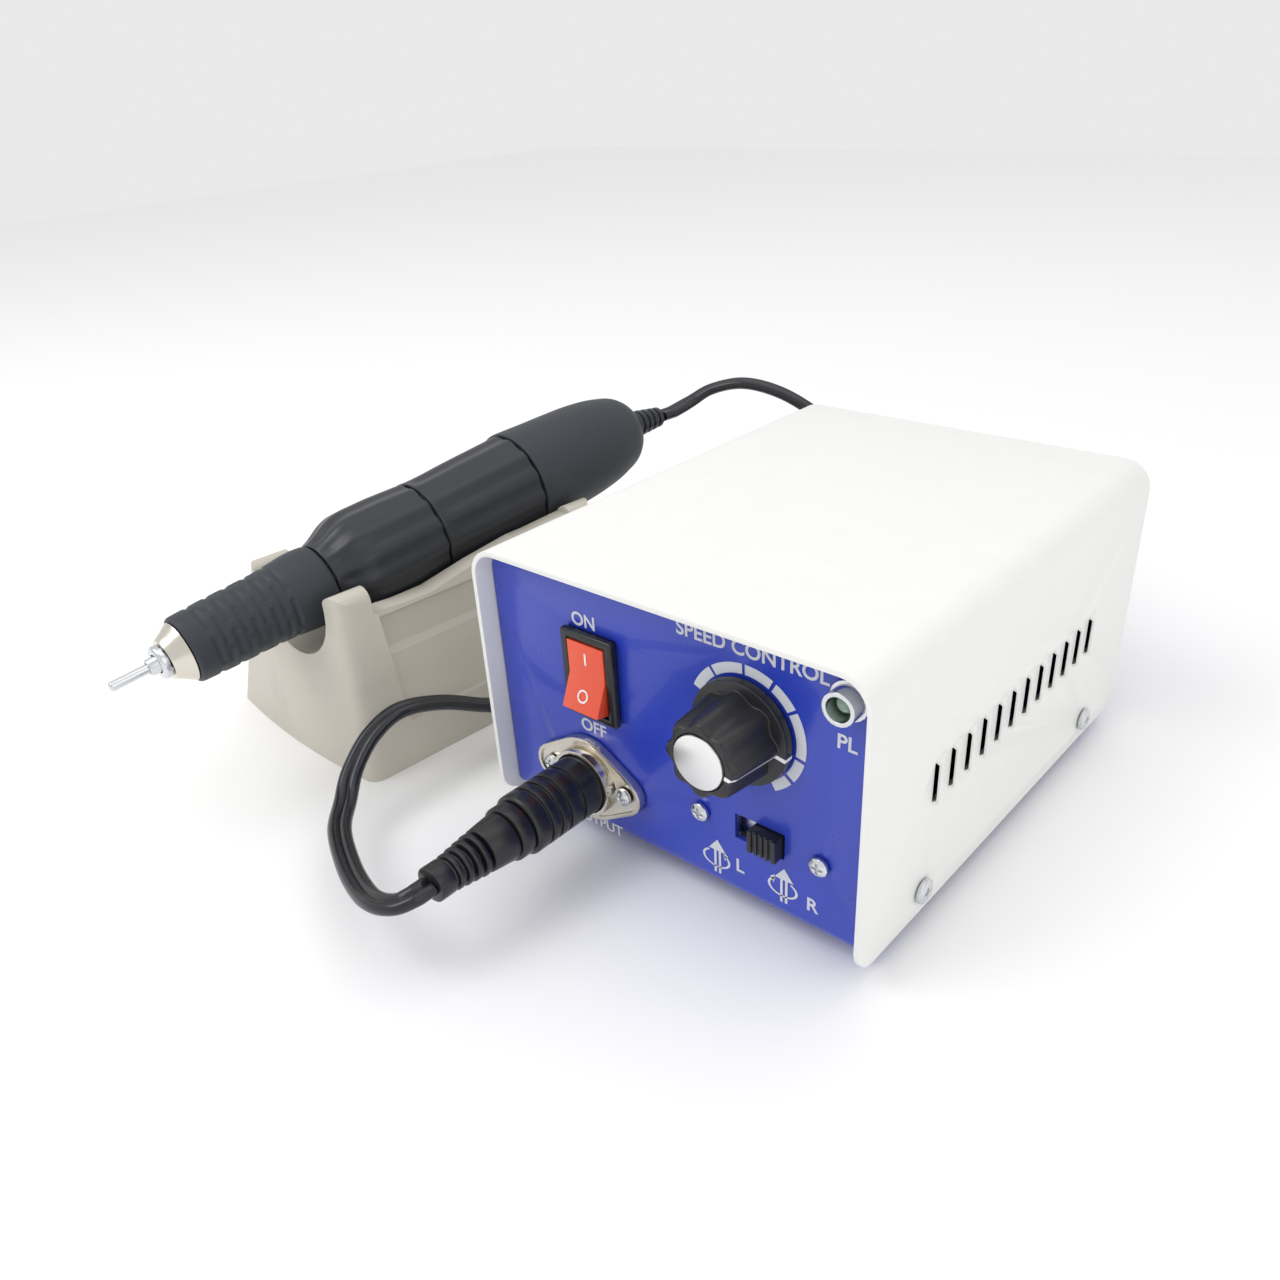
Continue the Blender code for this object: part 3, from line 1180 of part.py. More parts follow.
def make_board():
    """The control board, moulded in one with the four legs that it stands on."""
    low = FLOOR_TOP_Z + CLEARANCE
    board_z = low + STANDOFF_HEIGHT + BOARD_THICKNESS / 2
    board = block("control_board", (BOARD_WIDTH, BOARD_LENGTH, BOARD_THICKNESS),
                  (BOARD_X, BOARD_Y, board_z), BOARD_GREEN, BENCH)
    half_x = BOARD_WIDTH / 2 - STANDOFF_INSET
    half_y = BOARD_LENGTH / 2 - STANDOFF_INSET
    legs = [rod_mesh(STANDOFF_RADIUS, board_z - low, COARSE,
                     (BOARD_X + a * half_x, BOARD_Y + b * half_y, low))
            for a in (-1, 1) for b in (-1, 1)]
    cut(board, link("board_legs", merged(legs), None, BENCH, cutter=True), "UNION")


# Control box: rear fittings
def make_rear_fittings():
    z = FOOT_HEIGHT + REAR_FITTING_Z
    low = CLEARANCE
    tail = -CHASSIS_SHEET - GLAND_TAIL
    outer = [(tail, GLAND_BODY_RADIUS), (low, GLAND_BODY_RADIUS), (low, GLAND_RADIUS),
             (GLAND_LENGTH / 3, GLAND_RADIUS), (GLAND_LENGTH, GLAND_TIP_RADIUS)]
    turned("mains_gland", outer, COARSE, BLACK_PLASTIC, BENCH, (GLAND_X, REAR_FACE_Y, z),
           OUT_OF_REAR, inner=[(tail, GLAND_BORE), (GLAND_LENGTH, GLAND_BORE)])
    outer = [(-CHASSIS_SHEET - FUSE_TAIL, FUSE_BODY_RADIUS), (low, FUSE_BODY_RADIUS),
             (low, FUSE_CAP_RADIUS), (FUSE_RISE, FUSE_CAP_RADIUS)]
    place = (FUSE_X, REAR_FACE_Y, z)
    fuse = turned("fuse_holder", outer, COARSE, BLACK_PLASTIC, BENCH, place, OUT_OF_REAR)
    key = box_mesh((FUSE_KEY_LENGTH, FUSE_KEY_WIDTH, FUSE_KEY_DEPTH * 2),
                   (0, 0, FUSE_RISE))
    cut(fuse, link("fuse_key", key, None, BENCH, place, OUT_OF_REAR, cutter=True))
    tail = -CHASSIS_SHEET - JACK_TAIL
    outer = [(tail, JACK_BODY_RADIUS), (low, JACK_BODY_RADIUS), (low, JACK_RADIUS),
             (JACK_RISE, JACK_RADIUS)]
    turned("foot_switch_jack", outer, COARSE, BLACK_PLASTIC, BENCH, (JACK_X, REAR_FACE_Y, z),
           OUT_OF_REAR, inner=[(tail, JACK_BORE), (JACK_RISE, JACK_BORE)])


# Handpiece: front
def make_handpiece_front():
    outer = [(0, TOOL_RADIUS - TOOL_CHAMFER), (TOOL_CHAMFER, TOOL_RADIUS),
             (TOOL_LENGTH, TOOL_RADIUS)]
    turned("tool_pin", outer, COARSE, STEEL, HANDPIECE)
    tip = (COLLET_BORE + COLLET_RADIUS) / 2
    outer = [(TOOL_STICKOUT, tip), (TOOL_STICKOUT + SEAM, COLLET_RADIUS),
             (COLLET_END, COLLET_RADIUS)]
    turned("collet", outer, COARSE, STEEL, HANDPIECE,
           inner=[(TOOL_STICKOUT, COLLET_BORE), (COLLET_END, COLLET_BORE)])
    guard_end = GUARD_START + GUARD_LENGTH
    edge = GUARD_LENGTH / 3
    outer = [(GUARD_START, GUARD_RADIUS - edge), (GUARD_START + edge, GUARD_RADIUS),
             (guard_end, GUARD_RADIUS)]
    turned("guard_ring", outer, ROUND, STEEL, HANDPIECE,
           inner=[(GUARD_START, SPINDLE_BORE), (guard_end, SPINDLE_BORE)])
    outer = shares_to_profile(NOSE_PROFILE_SHARES, NOSE_START, NOSE_LENGTH, NOSE_RADIUS)
    spigot_end = CARTRIDGE_START - CLEARANCE
    outer += [(NOSE_END, CARTRIDGE_RADIUS), (spigot_end, CARTRIDGE_RADIUS)]
    bore = SPINDLE_RADIUS + CLEARANCE
    turned("nose_cone", outer, ROUND, NICKEL, HANDPIECE,
           inner=[(NOSE_START, bore), (spigot_end, bore)])

    outer = shares_to_profile(GRIP_PROFILE_SHARES, GRIP_START, GRIP_LENGTH, GRIP_RADIUS)
    turned("grip_sleeve", outer, FINE, SOFT_GRIP, HANDPIECE,
           inner=[(GRIP_START, GRIP_BORE), (GRIP_END, GRIP_BORE)])

    outer = shares_to_profile(LOCK_PROFILE_SHARES, LOCK_START, LOCK_LENGTH, LOCK_RADIUS)
    rings = [ring_points(height, radius, FLUTED, FLUTE_COUNT, FLUTE_DEPTH * min(1, index))
             for index, (height, radius) in enumerate(outer)]
    for height, radius in ((LOCK_END, SLEEVE_BORE), (CARTRIDGE_END, SLEEVE_BORE),
                           (CARTRIDGE_END - SEAM, GRIP_BORE), (LOCK_START, GRIP_BORE)):
        rings.append(ring_points(height, radius, FLUTED))
    lofted("lock_sleeve", rings, SATIN_BLACK, HANDPIECE, sleeve=True)


# Handpiece: rear
def make_handpiece_rear():
    outer = shares_to_profile(SLEEVE_PROFILE_SHARES, SLEEVE_START, SLEEVE_LENGTH,
                              SLEEVE_RADIUS)
    rings = [ring_points(height, radius, FLUTED, FLUTE_COUNT, FLUTE_DEPTH)
             for height, radius in outer]
    rings += [ring_points(height, SLEEVE_BORE, FLUTED)
              for height in (SLEEVE_END, SLEEVE_START)]
    lofted("rear_sleeve", rings, SATIN_BLACK, HANDPIECE, sleeve=True)

    outer = shares_to_profile(TAIL_PROFILE_SHARES, TAIL_START, TAIL_LENGTH, TAIL_RADIUS)
    inner = [(TAIL_START, SLEEVE_BORE), (MOTOR_END + CLEARANCE, SLEEVE_BORE),
             (TAIL_START + TAIL_LENGTH * TAIL_TAPER_SHARE, SLEEVE_BORE * TAIL_TAPER_BORE_SHARE),
             (TAIL_START + TAIL_LENGTH * TAIL_HOLE_SHARE, TAIL_HOLE), (TAIL_END, TAIL_HOLE)]
    turned("tail_cap", outer, FINE, SOFT_GRIP, HANDPIECE, inner=inner)

    frame = empty("strain_relief_frame", (0, 0, TAIL_END), (-RELIEF_DROOP, 0, 0), HANDPIECE)
    neck = TAIL_HOLE - CLEARANCE - RELIEF_NECK_LENGTH * math.sin(RELIEF_DROOP)
    start = CLEARANCE + RELIEF_RADIUS * math.sin(RELIEF_DROOP)
    outer = [(-RELIEF_NECK_LENGTH, neck), (start, neck)]
    pitch = (RELIEF_LENGTH - start) / RELIEF_RIBS
    for number in range(RELIEF_RIBS):
        low = start + pitch * number
        high = low + pitch * RELIEF_RIB_SHARE
        fade = number / (RELIEF_RIBS - 1)
        radius = RELIEF_RADIUS + (RELIEF_TIP_RADIUS - RELIEF_RADIUS) * fade
        outer += [(low, radius), (high, radius), (high, radius - RELIEF_GROOVE),
                  (low + pitch, radius - RELIEF_GROOVE)]
    turned("strain_relief", outer, ROUND, SATIN_BLACK, frame)


# Handpiece: spindle and motor
def handpiece_sleeve(name, start, end, radius, bore, sides, finish):
    """A plain sleeve on the handpiece's axis."""
    return turned(name, [(start, radius), (end, radius)], sides, finish, HANDPIECE,
                  inner=[(start, bore), (end, bore)])


def make_spindle():
    turned("spindle", [(SPINDLE_START, SPINDLE_RADIUS), (CARTRIDGE_END, SPINDLE_RADIUS)],
           COARSE, STEEL, HANDPIECE, blind=True,
           inner=[(SPINDLE_START, SPINDLE_BORE), (COLLET_END + CLEARANCE, SPINDLE_BORE)])
    handpiece_sleeve("spindle_cartridge", CARTRIDGE_START, CARTRIDGE_END, CARTRIDGE_RADIUS,
                     CARTRIDGE_BORE, ROUND, SPUN_ALUMINIUM)
    turned("coupling", [(MOTOR_START, COUPLING_RADIUS),
                        (MOTOR_START + COUPLING_LENGTH, COUPLING_RADIUS)], COARSE, BRASS,
           HANDPIECE)


def make_motor():
    mouth = COUPLING_RADIUS + SEAM
    wall_end = MOTOR_START + MOTOR_MOUTH
    turned("motor_housing", [(MOTOR_START, MOTOR_RADIUS), (MOTOR_END, MOTOR_RADIUS)], ROUND,
           STEEL, HANDPIECE,
           inner=[(MOTOR_START, mouth), (wall_end, mouth), (wall_end, MOTOR_BORE),
                  (MOTOR_END, MOTOR_BORE)])
    turned("motor_shaft", [(AXLE_START, AXLE_RADIUS), (MOTOR_END, AXLE_RADIUS)], COARSE,
           STEEL, HANDPIECE)
    for name, start in (("motor_front_plate", FRONT_PLATE_START),
                        ("motor_rear_plate", REAR_PLATE_START)):
        handpiece_sleeve(name, start, start + BEARING_PLATE_THICKNESS, MAGNET_RADIUS,
                         AXLE_BORE, ROUND, BRASS)
    handpiece_sleeve("magnet_ring", MAGNET_START, MAGNET_END, MAGNET_RADIUS, MAGNET_BORE,
                     ROUND, IRON)
    armature = handpiece_sleeve("armature", ARMATURE_START, ARMATURE_END, ARMATURE_RADIUS,
                                AXLE_BORE, ROUND, COPPER)
    slots = []
    middle = (ARMATURE_START + ARMATURE_END) / 2
    for number in range(ARMATURE_SLOTS):
        slot = box_mesh((ARMATURE_SLOT_DEPTH * 2, ARMATURE_SLOT_WIDTH,
                         ARMATURE_LENGTH + OVERRUN), (ARMATURE_RADIUS, 0, middle))
        slot.transform(Matrix.Rotation(math.tau * number / ARMATURE_SLOTS, 4, "Z"))
        slots.append(slot)
    cut(armature, link("armature_slots", merged(slots), None, HANDPIECE, cutter=True))


# Stand
def stand_front_outline():
    """The stand seen from the front: a leaning left side, an upright right side, two horns.
    Both sides are a little wide here, because the plan outline trims them."""
    points = [(-STAND_LEFT - SEAM, 0.0), (STAND_RIGHT + SEAM, 0.0),
              (STAND_RIGHT + SEAM, HORN_CENTRE_Z)]
    points += arc(HORN_CENTRE, HORN_CENTRE_Z, HORN_RADIUS, 0, math.pi, 8)
    points += arc(-HORN_CENTRE, HORN_CENTRE_Z, HORN_RADIUS, 0, math.pi / 2 + SIDE_LEAN, 8)
    return points


def stand_plan_mesh():
    """A prism with the stand's rounded corners and bowed front, its left side leaning over."""
    radius = STAND_CORNER
    left = -STAND_LEFT
    right = STAND_RIGHT
    front = STAND_FRONT
    points = arc(right - radius, STAND_REAR - radius, radius, 0, math.pi / 2, 4)
    points += arc(left + radius, STAND_REAR - radius, radius, math.pi / 2, math.pi, 4)
    points += arc(left + radius, front + radius, radius, math.pi, math.pi * 1.5, 4)
    middle = (left + right) / 2
    half = (right - left) / 2 - radius
    for step in range(1, 8):
        share = step / 4 - 1
        points.append((middle + half * share, front - STAND_BOW * (1 - share * share)))
    points += arc(right - radius, front + radius, radius, math.pi * 1.5, math.tau, 4)
    mesh = outline_mesh(points, HORN_HEIGHT + OVERRUN * 2)
    mesh.transform(Matrix.Translation((0, 0, -OVERRUN)))
    slope = 1 / math.tan(SIDE_LEAN)
    shape = bmesh.new()
    shape.from_mesh(mesh)
    for corner in shape.verts:
        share = max(0.0, (middle - corner.co.x) / (middle - left))
        corner.co.x += slope * corner.co.z * share
    bmesh.ops.triangulate(shape, faces=shape.faces)
    shape.to_mesh(mesh)
    shape.free()
    return mesh


def saddle_mesh(first, last):
    """What is cut away above the rim between the front and rear horns."""
    over = HORN_HEIGHT + STAND_LEFT
    outline = [(first, over)]
    for along_share, drop_share in RIM_DROP_SHARES:
        along = first + (last - first) * along_share
        outline.append((along, axis_height(along) - drop_share * TROUGH_RADIUS))
    outline.append((last, over))
    mesh = outline_mesh(outline, STAND_LEFT * 4)
    mesh.transform(Matrix(((0, 0, 1, -STAND_LEFT * 2), (1, 0, 0, 0), (0, 1, 0, 0),
                           (0, 0, 0, 1))))
    return mesh


def side_recess_mesh(first, last):
    """The long recess in the right side: ledge, wall, deeper band and rim, with a front end
    that slants rearwards as it goes down."""
    right = STAND_RIGHT
    top = HORN_HEIGHT + OVERRUN
    outline = [(right + OVERRUN, LEDGE_HEIGHT), (right - LEDGE_INSET, LEDGE_HEIGHT + SEAM),
               (right - WALL_INSET, BAND_BOTTOM - BAND_SLOPE),
               (right - BAND_INSET, BAND_BOTTOM), (right - BAND_INSET, BAND_TOP),
               (right - RIM_INSET, BAND_TOP + BAND_SLOPE), (right - RIM_INSET, top),
               (right + OVERRUN, top)]
    mesh = outline_mesh(outline, last - first)
    mesh.transform(Matrix(((1, 0, 0, 0), (0, 0, -1, last), (0, 1, 0, 0), (0, 0, 0, 1))))
    middle = (first + last) / 2
    for corner in mesh.vertices:
        if corner.co.y < middle:
            drop = (top - corner.co.z) / (top - LEDGE_HEIGHT)
            corner.co.y += RECESS_DRAFT * drop
    return mesh


def stand_hollow_mesh():
    """The hollow under the stand, kept one wall away from every outer face."""
    front = STAND_FRONT + STAND_WALL
    rear = STAND_REAR - STAND_WALL
    right = STAND_RIGHT - BAND_INSET - STAND_WALL
    left = -STAND_LEFT + STAND_WALL / math.sin(SIDE_LEAN)
    lean = 1 / math.tan(SIDE_LEAN)
    points = []
    for along in (front, rear):
        top = axis_height(along) - TROUGH_RADIUS - HOLLOW_ROOF
        points.append((right, along, -OVERRUN))
        points.append((left - lean * OVERRUN, along, -OVERRUN))
        points.append((left + lean * top, along, top))
        points.append((right, along, top))
    return hull_mesh(points)


def make_stand():
    length = STAND_REAR - STAND_FRONT + STAND_BOW + OVERRUN * 2
    mesh = outline_mesh(stand_front_outline(), length)
    stand = link("handpiece_stand", mesh, BEIGE_PLASTIC, STAND,
                 (0, STAND_REAR + OVERRUN, 0), OUT_OF_PANEL)
    cut(stand, link("stand_plan", stand_plan_mesh(), None, STAND, cutter=True), "INTERSECT")
    trough = rod_mesh(TROUGH_RADIUS, STAND_REAR, FINE, (0, 0, OVERRUN * 4))
    cut(stand, link("trough", trough, None, HANDPIECE, cutter=True))
    above = box_mesh((TROUGH_RADIUS * 2, STAND_RIGHT * 2, STAND_REAR * 2),
                     (0, -STAND_RIGHT, STAND_REAR / 2))
    cut(stand, link("trough_mouth", above, None, HANDPIECE, cutter=True))
    first = STAND_FRONT + FRONT_HORN_DEPTH
    last = STAND_REAR - REAR_HORN_DEPTH
    cut(stand, link("saddle", saddle_mesh(first, last), None, STAND, cutter=True))
    cut(stand, link("side_recess", side_recess_mesh(first, last), None, STAND, cutter=True))
    cut(stand, link("stand_hollow", stand_hollow_mesh(), None, STAND, cutter=True))


# Cord
def smooth_route(start, run_out, route, run_in, end):
    """A smooth line through chosen points, straight at both ends, then points at even
    distances along it."""
    control = [Vector(point) for point in [start, run_out, *route, run_in, end]]
    fine = [control[0]]
    for index in range(1, len(control) - 2):
        before, here, there, after = control[index - 1:index + 3]
        for step in range(8):
            t = step / 8
            bend = (here * 2 + (there - before) * t
                    + (before * 2 - here * 5 + there * 4 - after) * t * t
                    + (here * 3 - before - there * 3 + after) * t * t * t)
            fine.append(bend / 2)
    fine += control[-2:]
    points = [fine[0], fine[1]]
    travelled = 0.0
    for here, there in zip(fine[1:], fine[2:-1]):
        travelled += (there - here).length
        if travelled >= CORD_POINT_STEP and (there - fine[-2]).length > CORD_POINT_STEP / 2:
            points.append(there)
            travelled = 0.0
    return points + fine[-2:]


def cord_tube(name, points, resolution):
    curve = bpy.data.curves.new(name, "CURVE")
    curve.dimensions = "3D"
    curve.bevel_depth = CORD_RADIUS
    curve.bevel_resolution = resolution
    curve.use_fill_caps = True
    spline = curve.splines.new("POLY")
    spline.points.add(len(points) - 1)
    for target, point in zip(spline.points, points):
        target.co = (*point, 1.0)
    curve.materials.append(CORD_SHEATH)
    made = bpy.data.objects.new(name, curve)
    made.parent = BENCH
    parts.objects.link(made)


def coil_points():
    """The coil's line: it winds inwards on the lower layer, climbs in the half turn where it
    reverses, winds outwards on the upper layer, and leaves straight at both ends."""
    points = []
    half_turn = 0.5
    climb_start = (COIL_TURNS - half_turn) / 2
    count = round(COIL_TURNS * COIL_POINTS)
    for number in range(count + 1):
        turn = COIL_TURNS * number / count
        radius = COIL_RADIUS - COIL_PITCH * min(turn, COIL_TURNS - turn)
        angle = math.pi - math.tau * turn
        rise = min(1.0, max(0.0, (turn - climb_start) / half_turn))
        points.append(Vector((COIL_X + radius * math.cos(angle),
                              COIL_Y + radius * math.sin(angle), COIL_Z + COIL_LAYER * rise)))
    straight = Vector((0, -CORD_RADIUS * 2, 0))
    return [points[0] + straight] + points + [points[-1] + straight]


def least_gap(points):
    """The smallest clear distance between the tube and itself, at least half a turn on."""
    far = COIL_POINTS // 2
    least = min((first - second).length for index, first in enumerate(points)
                for second in points[index + far:])
    return least - CORD_RADIUS * 2


def make_cord(plug_end):
    coil = coil_points()
    print("coil: least gap to itself", round(least_gap(coil) * 1000, 2), "mm")
    cord_tube("cord_coil", coil, 1)

    diameter = CORD_RADIUS * 2
    start = Vector((SOCKET_X, PANEL_SETBACK - plug_end - CLEARANCE, FOOT_HEIGHT + SOCKET_Z))
    run_out = start - Vector((0, diameter * CORD_RUN_OUT_SHARE, 0))
    into_coil = coil[0] - Vector((0, CLEARANCE, 0))
    cord_tube("cord_front", smooth_route(start, run_out, FRONT_ROUTE,
                                         into_coil - Vector((0, diameter, 0)), into_coil), 2)

    out_of_coil = coil[-1] - Vector((0, CLEARANCE, 0))
    relief = relief_matrix()
    tip = relief @ Vector((0, 0, RELIEF_LENGTH + CLEARANCE))
    before_tip = relief @ Vector((0, 0, RELIEF_LENGTH + diameter))
    cord_tube("cord_rear", smooth_route(out_of_coil, out_of_coil - Vector((0, diameter, 0)),
                                        REAR_ROUTE, before_tip, tip), 2)


def make_tie():
    """A strap around all the loops at the side of the coil away from the box."""
    least_radius = COIL_RADIUS - COIL_PITCH * COIL_TURNS / 2
    sag = TIE_WIDTH * TIE_WIDTH / (8 * least_radius)
    near = COIL_Y + least_radius - sag - CORD_RADIUS - TIE_GAP
    far = COIL_Y + COIL_RADIUS + CORD_RADIUS + TIE_GAP
    low = COIL_Z - CORD_RADIUS - TIE_GAP
    high = COIL_Z + COIL_LAYER + CORD_RADIUS + TIE_GAP
    centre = (COIL_X, (near + far) / 2, (low + high) / 2)
    band = TIE_THICKNESS * 2
    tie = block("cord_tie", (TIE_WIDTH, far - near + band, high - low + band), centre,
                TIE_STRAP, BENCH)
    cut(tie, block("tie_inside", (TIE_WIDTH + OVERRUN, far - near, high - low), centre, None,
                   BENCH, True))


make_cover()
make_chassis()
make_feet()
make_cover_screws()
make_rocker_switch()
make_socket()
make_speed_control()
make_lamp()
make_slide_switch()
make_transformer()
make_board()
make_rear_fittings()
make_handpiece_front()
make_handpiece_rear()
make_spindle()
make_motor()
make_stand()
make_cord(make_plug())
make_tie()
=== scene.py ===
import json
import math

import bmesh
import bpy
from mathutils import Euler, Matrix, Vector


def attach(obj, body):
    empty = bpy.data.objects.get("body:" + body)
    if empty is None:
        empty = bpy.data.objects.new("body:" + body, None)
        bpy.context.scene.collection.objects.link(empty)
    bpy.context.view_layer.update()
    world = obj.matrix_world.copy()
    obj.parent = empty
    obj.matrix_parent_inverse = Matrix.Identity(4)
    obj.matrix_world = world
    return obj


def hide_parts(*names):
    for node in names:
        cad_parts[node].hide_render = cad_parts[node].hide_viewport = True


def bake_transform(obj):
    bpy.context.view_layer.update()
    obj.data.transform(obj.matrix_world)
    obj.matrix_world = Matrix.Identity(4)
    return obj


# Dental micromotor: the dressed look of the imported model. Lengths are in metres. BENCH takes
# a point of the bench frame, in which the CAD source's numbers are, to the world.

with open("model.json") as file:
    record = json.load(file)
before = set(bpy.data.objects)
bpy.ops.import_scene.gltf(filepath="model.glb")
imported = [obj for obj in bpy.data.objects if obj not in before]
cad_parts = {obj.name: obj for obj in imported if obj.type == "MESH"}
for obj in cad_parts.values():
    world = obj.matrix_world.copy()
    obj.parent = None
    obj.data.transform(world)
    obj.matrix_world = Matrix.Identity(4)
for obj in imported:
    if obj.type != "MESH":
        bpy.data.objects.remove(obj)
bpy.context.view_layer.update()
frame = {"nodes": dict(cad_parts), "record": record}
RECORD = frame["record"]
SLOT_OF = {part["node"]: part["material_slot"] for part in RECORD["subparts"]}
BODY_OF = {node: body for body, nodes in RECORD["behaviour"]["bodies"].items()
           for node in nodes}
SCENE = bpy.context.scene

BENCH = Matrix.Translation((0.001025763, -0.03705, 0.0))
HAND_TIP = (-0.0588, -0.0614, 0.0436)
HAND_TILT = math.radians(6.1)
HAND_TURN = math.radians(3.8)
HAND = (BENCH @ Matrix.Translation(HAND_TIP)
        @ Euler((HAND_TILT - math.pi / 2, 0, -HAND_TURN), "XYZ").to_matrix().to_4x4())
PANEL_Y = 0.0047
OUT_OF_PANEL = Matrix.Rotation(math.pi / 2, 4, "X")
KNOB_CENTRE = (0.0721, 0.0486)

# Meshes: where two points are one, where two faces are flat, and which edges look smooth
SAME_PLACE = 0.00002
SAME_PLANE = math.radians(0.5)
SMOOTH_ANGLE = math.radians(38)

# Camera, solved from the photograph
CAMERA_PLACE = (0.17917, -0.13970, 0.16422)
CAMERA_RIGHT = (0.75316, 0.65574, -0.05249)
CAMERA_DOWN = (0.2936, -0.40648, -0.8652)
CAMERA_FORWARD = (-0.58869, 0.63622, -0.49867)
CAMERA_LENS = 30.85
CAMERA_SHIFT = (-0.0021, 0.0283)

# Flat twin cord
CORD_RADIUS = 0.0026
CORD_WIDTH = 0.0056
CORD_THICKNESS = 0.0030
CORD_ROUND_STEPS = 10
CORD_STEPS = 12
CORD_EXIT_SHARE = 0.65
CORD_EDGE = 0.0002
CORD_EDGE_ANGLE = 60
COIL_CENTRE = (0.030, 0.188, 0.0042)
COIL_RADIUS = 0.0340
COIL_PITCH = 0.0058
COIL_LAYER = 0.0072
COIL_TURNS = 6.5
COIL_CLIMB_TURNS = 0.5
COIL_POINTS = 40
SOCKET = (0.0284, PANEL_Y, 0.0190)
PLUG_END = 0.0485
CLEARANCE = 0.0003
RELIEF_LENGTH = 0.0135
RELIEF_DROOP = math.radians(7)
TAIL_END = 0.1693
CORD_STAYS = (0.0, 0.115, 0.026)
CORD_LIFTS = (0.0, 0.115, 0.058)

FRONT_ROUTE = [
    (0.0258, -0.0508, 0.0176), (0.0205, -0.0518, 0.0158), (0.0130, -0.0503, 0.0138),
    (0.0015, -0.0460, 0.0120), (-0.0120, -0.0390, 0.0110), (-0.0205, -0.0312, 0.0112),
    (-0.0250, -0.0250, 0.0148), (-0.0267, -0.0170, 0.0200), (-0.0262, -0.0080, 0.0228),
    (-0.0240, 0.0030, 0.0205), (-0.0205, 0.0140, 0.0155), (-0.0180, 0.0260, 0.0103),
    (-0.0165, 0.0400, 0.0060), (-0.0155, 0.0560, 0.0036), (-0.0150, 0.0800, 0.0029),
    (-0.0140, 0.1050, 0.0029), (-0.0105, 0.1300, 0.0031), (-0.0060, 0.1550, 0.0037),
    (-0.0042, 0.1700, 0.0042),
]
REAR_ROUTE = [
    (0.0636, 0.1720, 0.0118), (0.0605, 0.1640, 0.0132), (0.0520, 0.1560, 0.0180),
    (0.0390, 0.1530, 0.0255), (0.0260, 0.1530, 0.0340), (0.0130, 0.1535, 0.0435),
    (0.0020, 0.1530, 0.0530), (-0.0080, 0.1510, 0.0600), (-0.0190, 0.1470, 0.0662),
    (-0.0300, 0.1425, 0.0688), (-0.0395, 0.1380, 0.0668), (-0.0445, 0.1325, 0.0632),
]


# Materials. A patch is as wide as this many grains.
PATCH_GRAINS = 20
PATCH_DETAIL = 4.0
GRAIN_DETAIL = 3.0


def noise(tree, place, scale, detail):
    made = tree.nodes.new("ShaderNodeTexNoise")
    made.inputs["Scale"].default_value = scale
    made.inputs["Detail"].default_value = detail
    tree.links.new(place.outputs["Object"], made.inputs["Vector"])
    return made.outputs["Fac"]


def surface(name, colour, roughness, metallic=0.0, spread=0.08, grain=1500.0, bump=0.1,
            depth=0.0001, coat=0.0, anisotropic=0.0, rough_spread=0.07):
    """A procedural surface: soft patches in colour and roughness, and a fine relief."""
    made = bpy.data.materials.new(name)
    made.use_nodes = True
    made.diffuse_color = (*colour, 1.0)
    tree = made.node_tree
    shader = tree.nodes["Principled BSDF"]
    shader.inputs["Metallic"].default_value = metallic
    shader.inputs["Coat Weight"].default_value = coat
    shader.inputs["Anisotropic"].default_value = anisotropic
    place = tree.nodes.new("ShaderNodeTexCoord")
    patches = noise(tree, place, grain / PATCH_GRAINS, PATCH_DETAIL)
    fine = noise(tree, place, grain, GRAIN_DETAIL)
    mix = tree.nodes.new("ShaderNodeMix")
    mix.data_type = "RGBA"
    mix.inputs["A"].default_value = (*[part * (1 - spread) for part in colour], 1.0)
    mix.inputs["B"].default_value = (*[min(1, part * (1 + spread)) for part in colour], 1.0)
    tree.links.new(patches, mix.inputs["Factor"])
    tree.links.new(mix.outputs["Result"], shader.inputs["Base Color"])
    wear = tree.nodes.new("ShaderNodeMapRange")
    wear.inputs["To Min"].default_value = roughness - rough_spread
    wear.inputs["To Max"].default_value = roughness + rough_spread
    tree.links.new(patches, wear.inputs["Value"])
    tree.links.new(wear.outputs["Result"], shader.inputs["Roughness"])
    relief = tree.nodes.new("ShaderNodeBump")
    relief.inputs["Strength"].default_value = bump
    relief.inputs["Distance"].default_value = depth
    tree.links.new(fine, relief.inputs["Height"])
    tree.links.new(relief.outputs["Normal"], shader.inputs["Normal"])
    return made


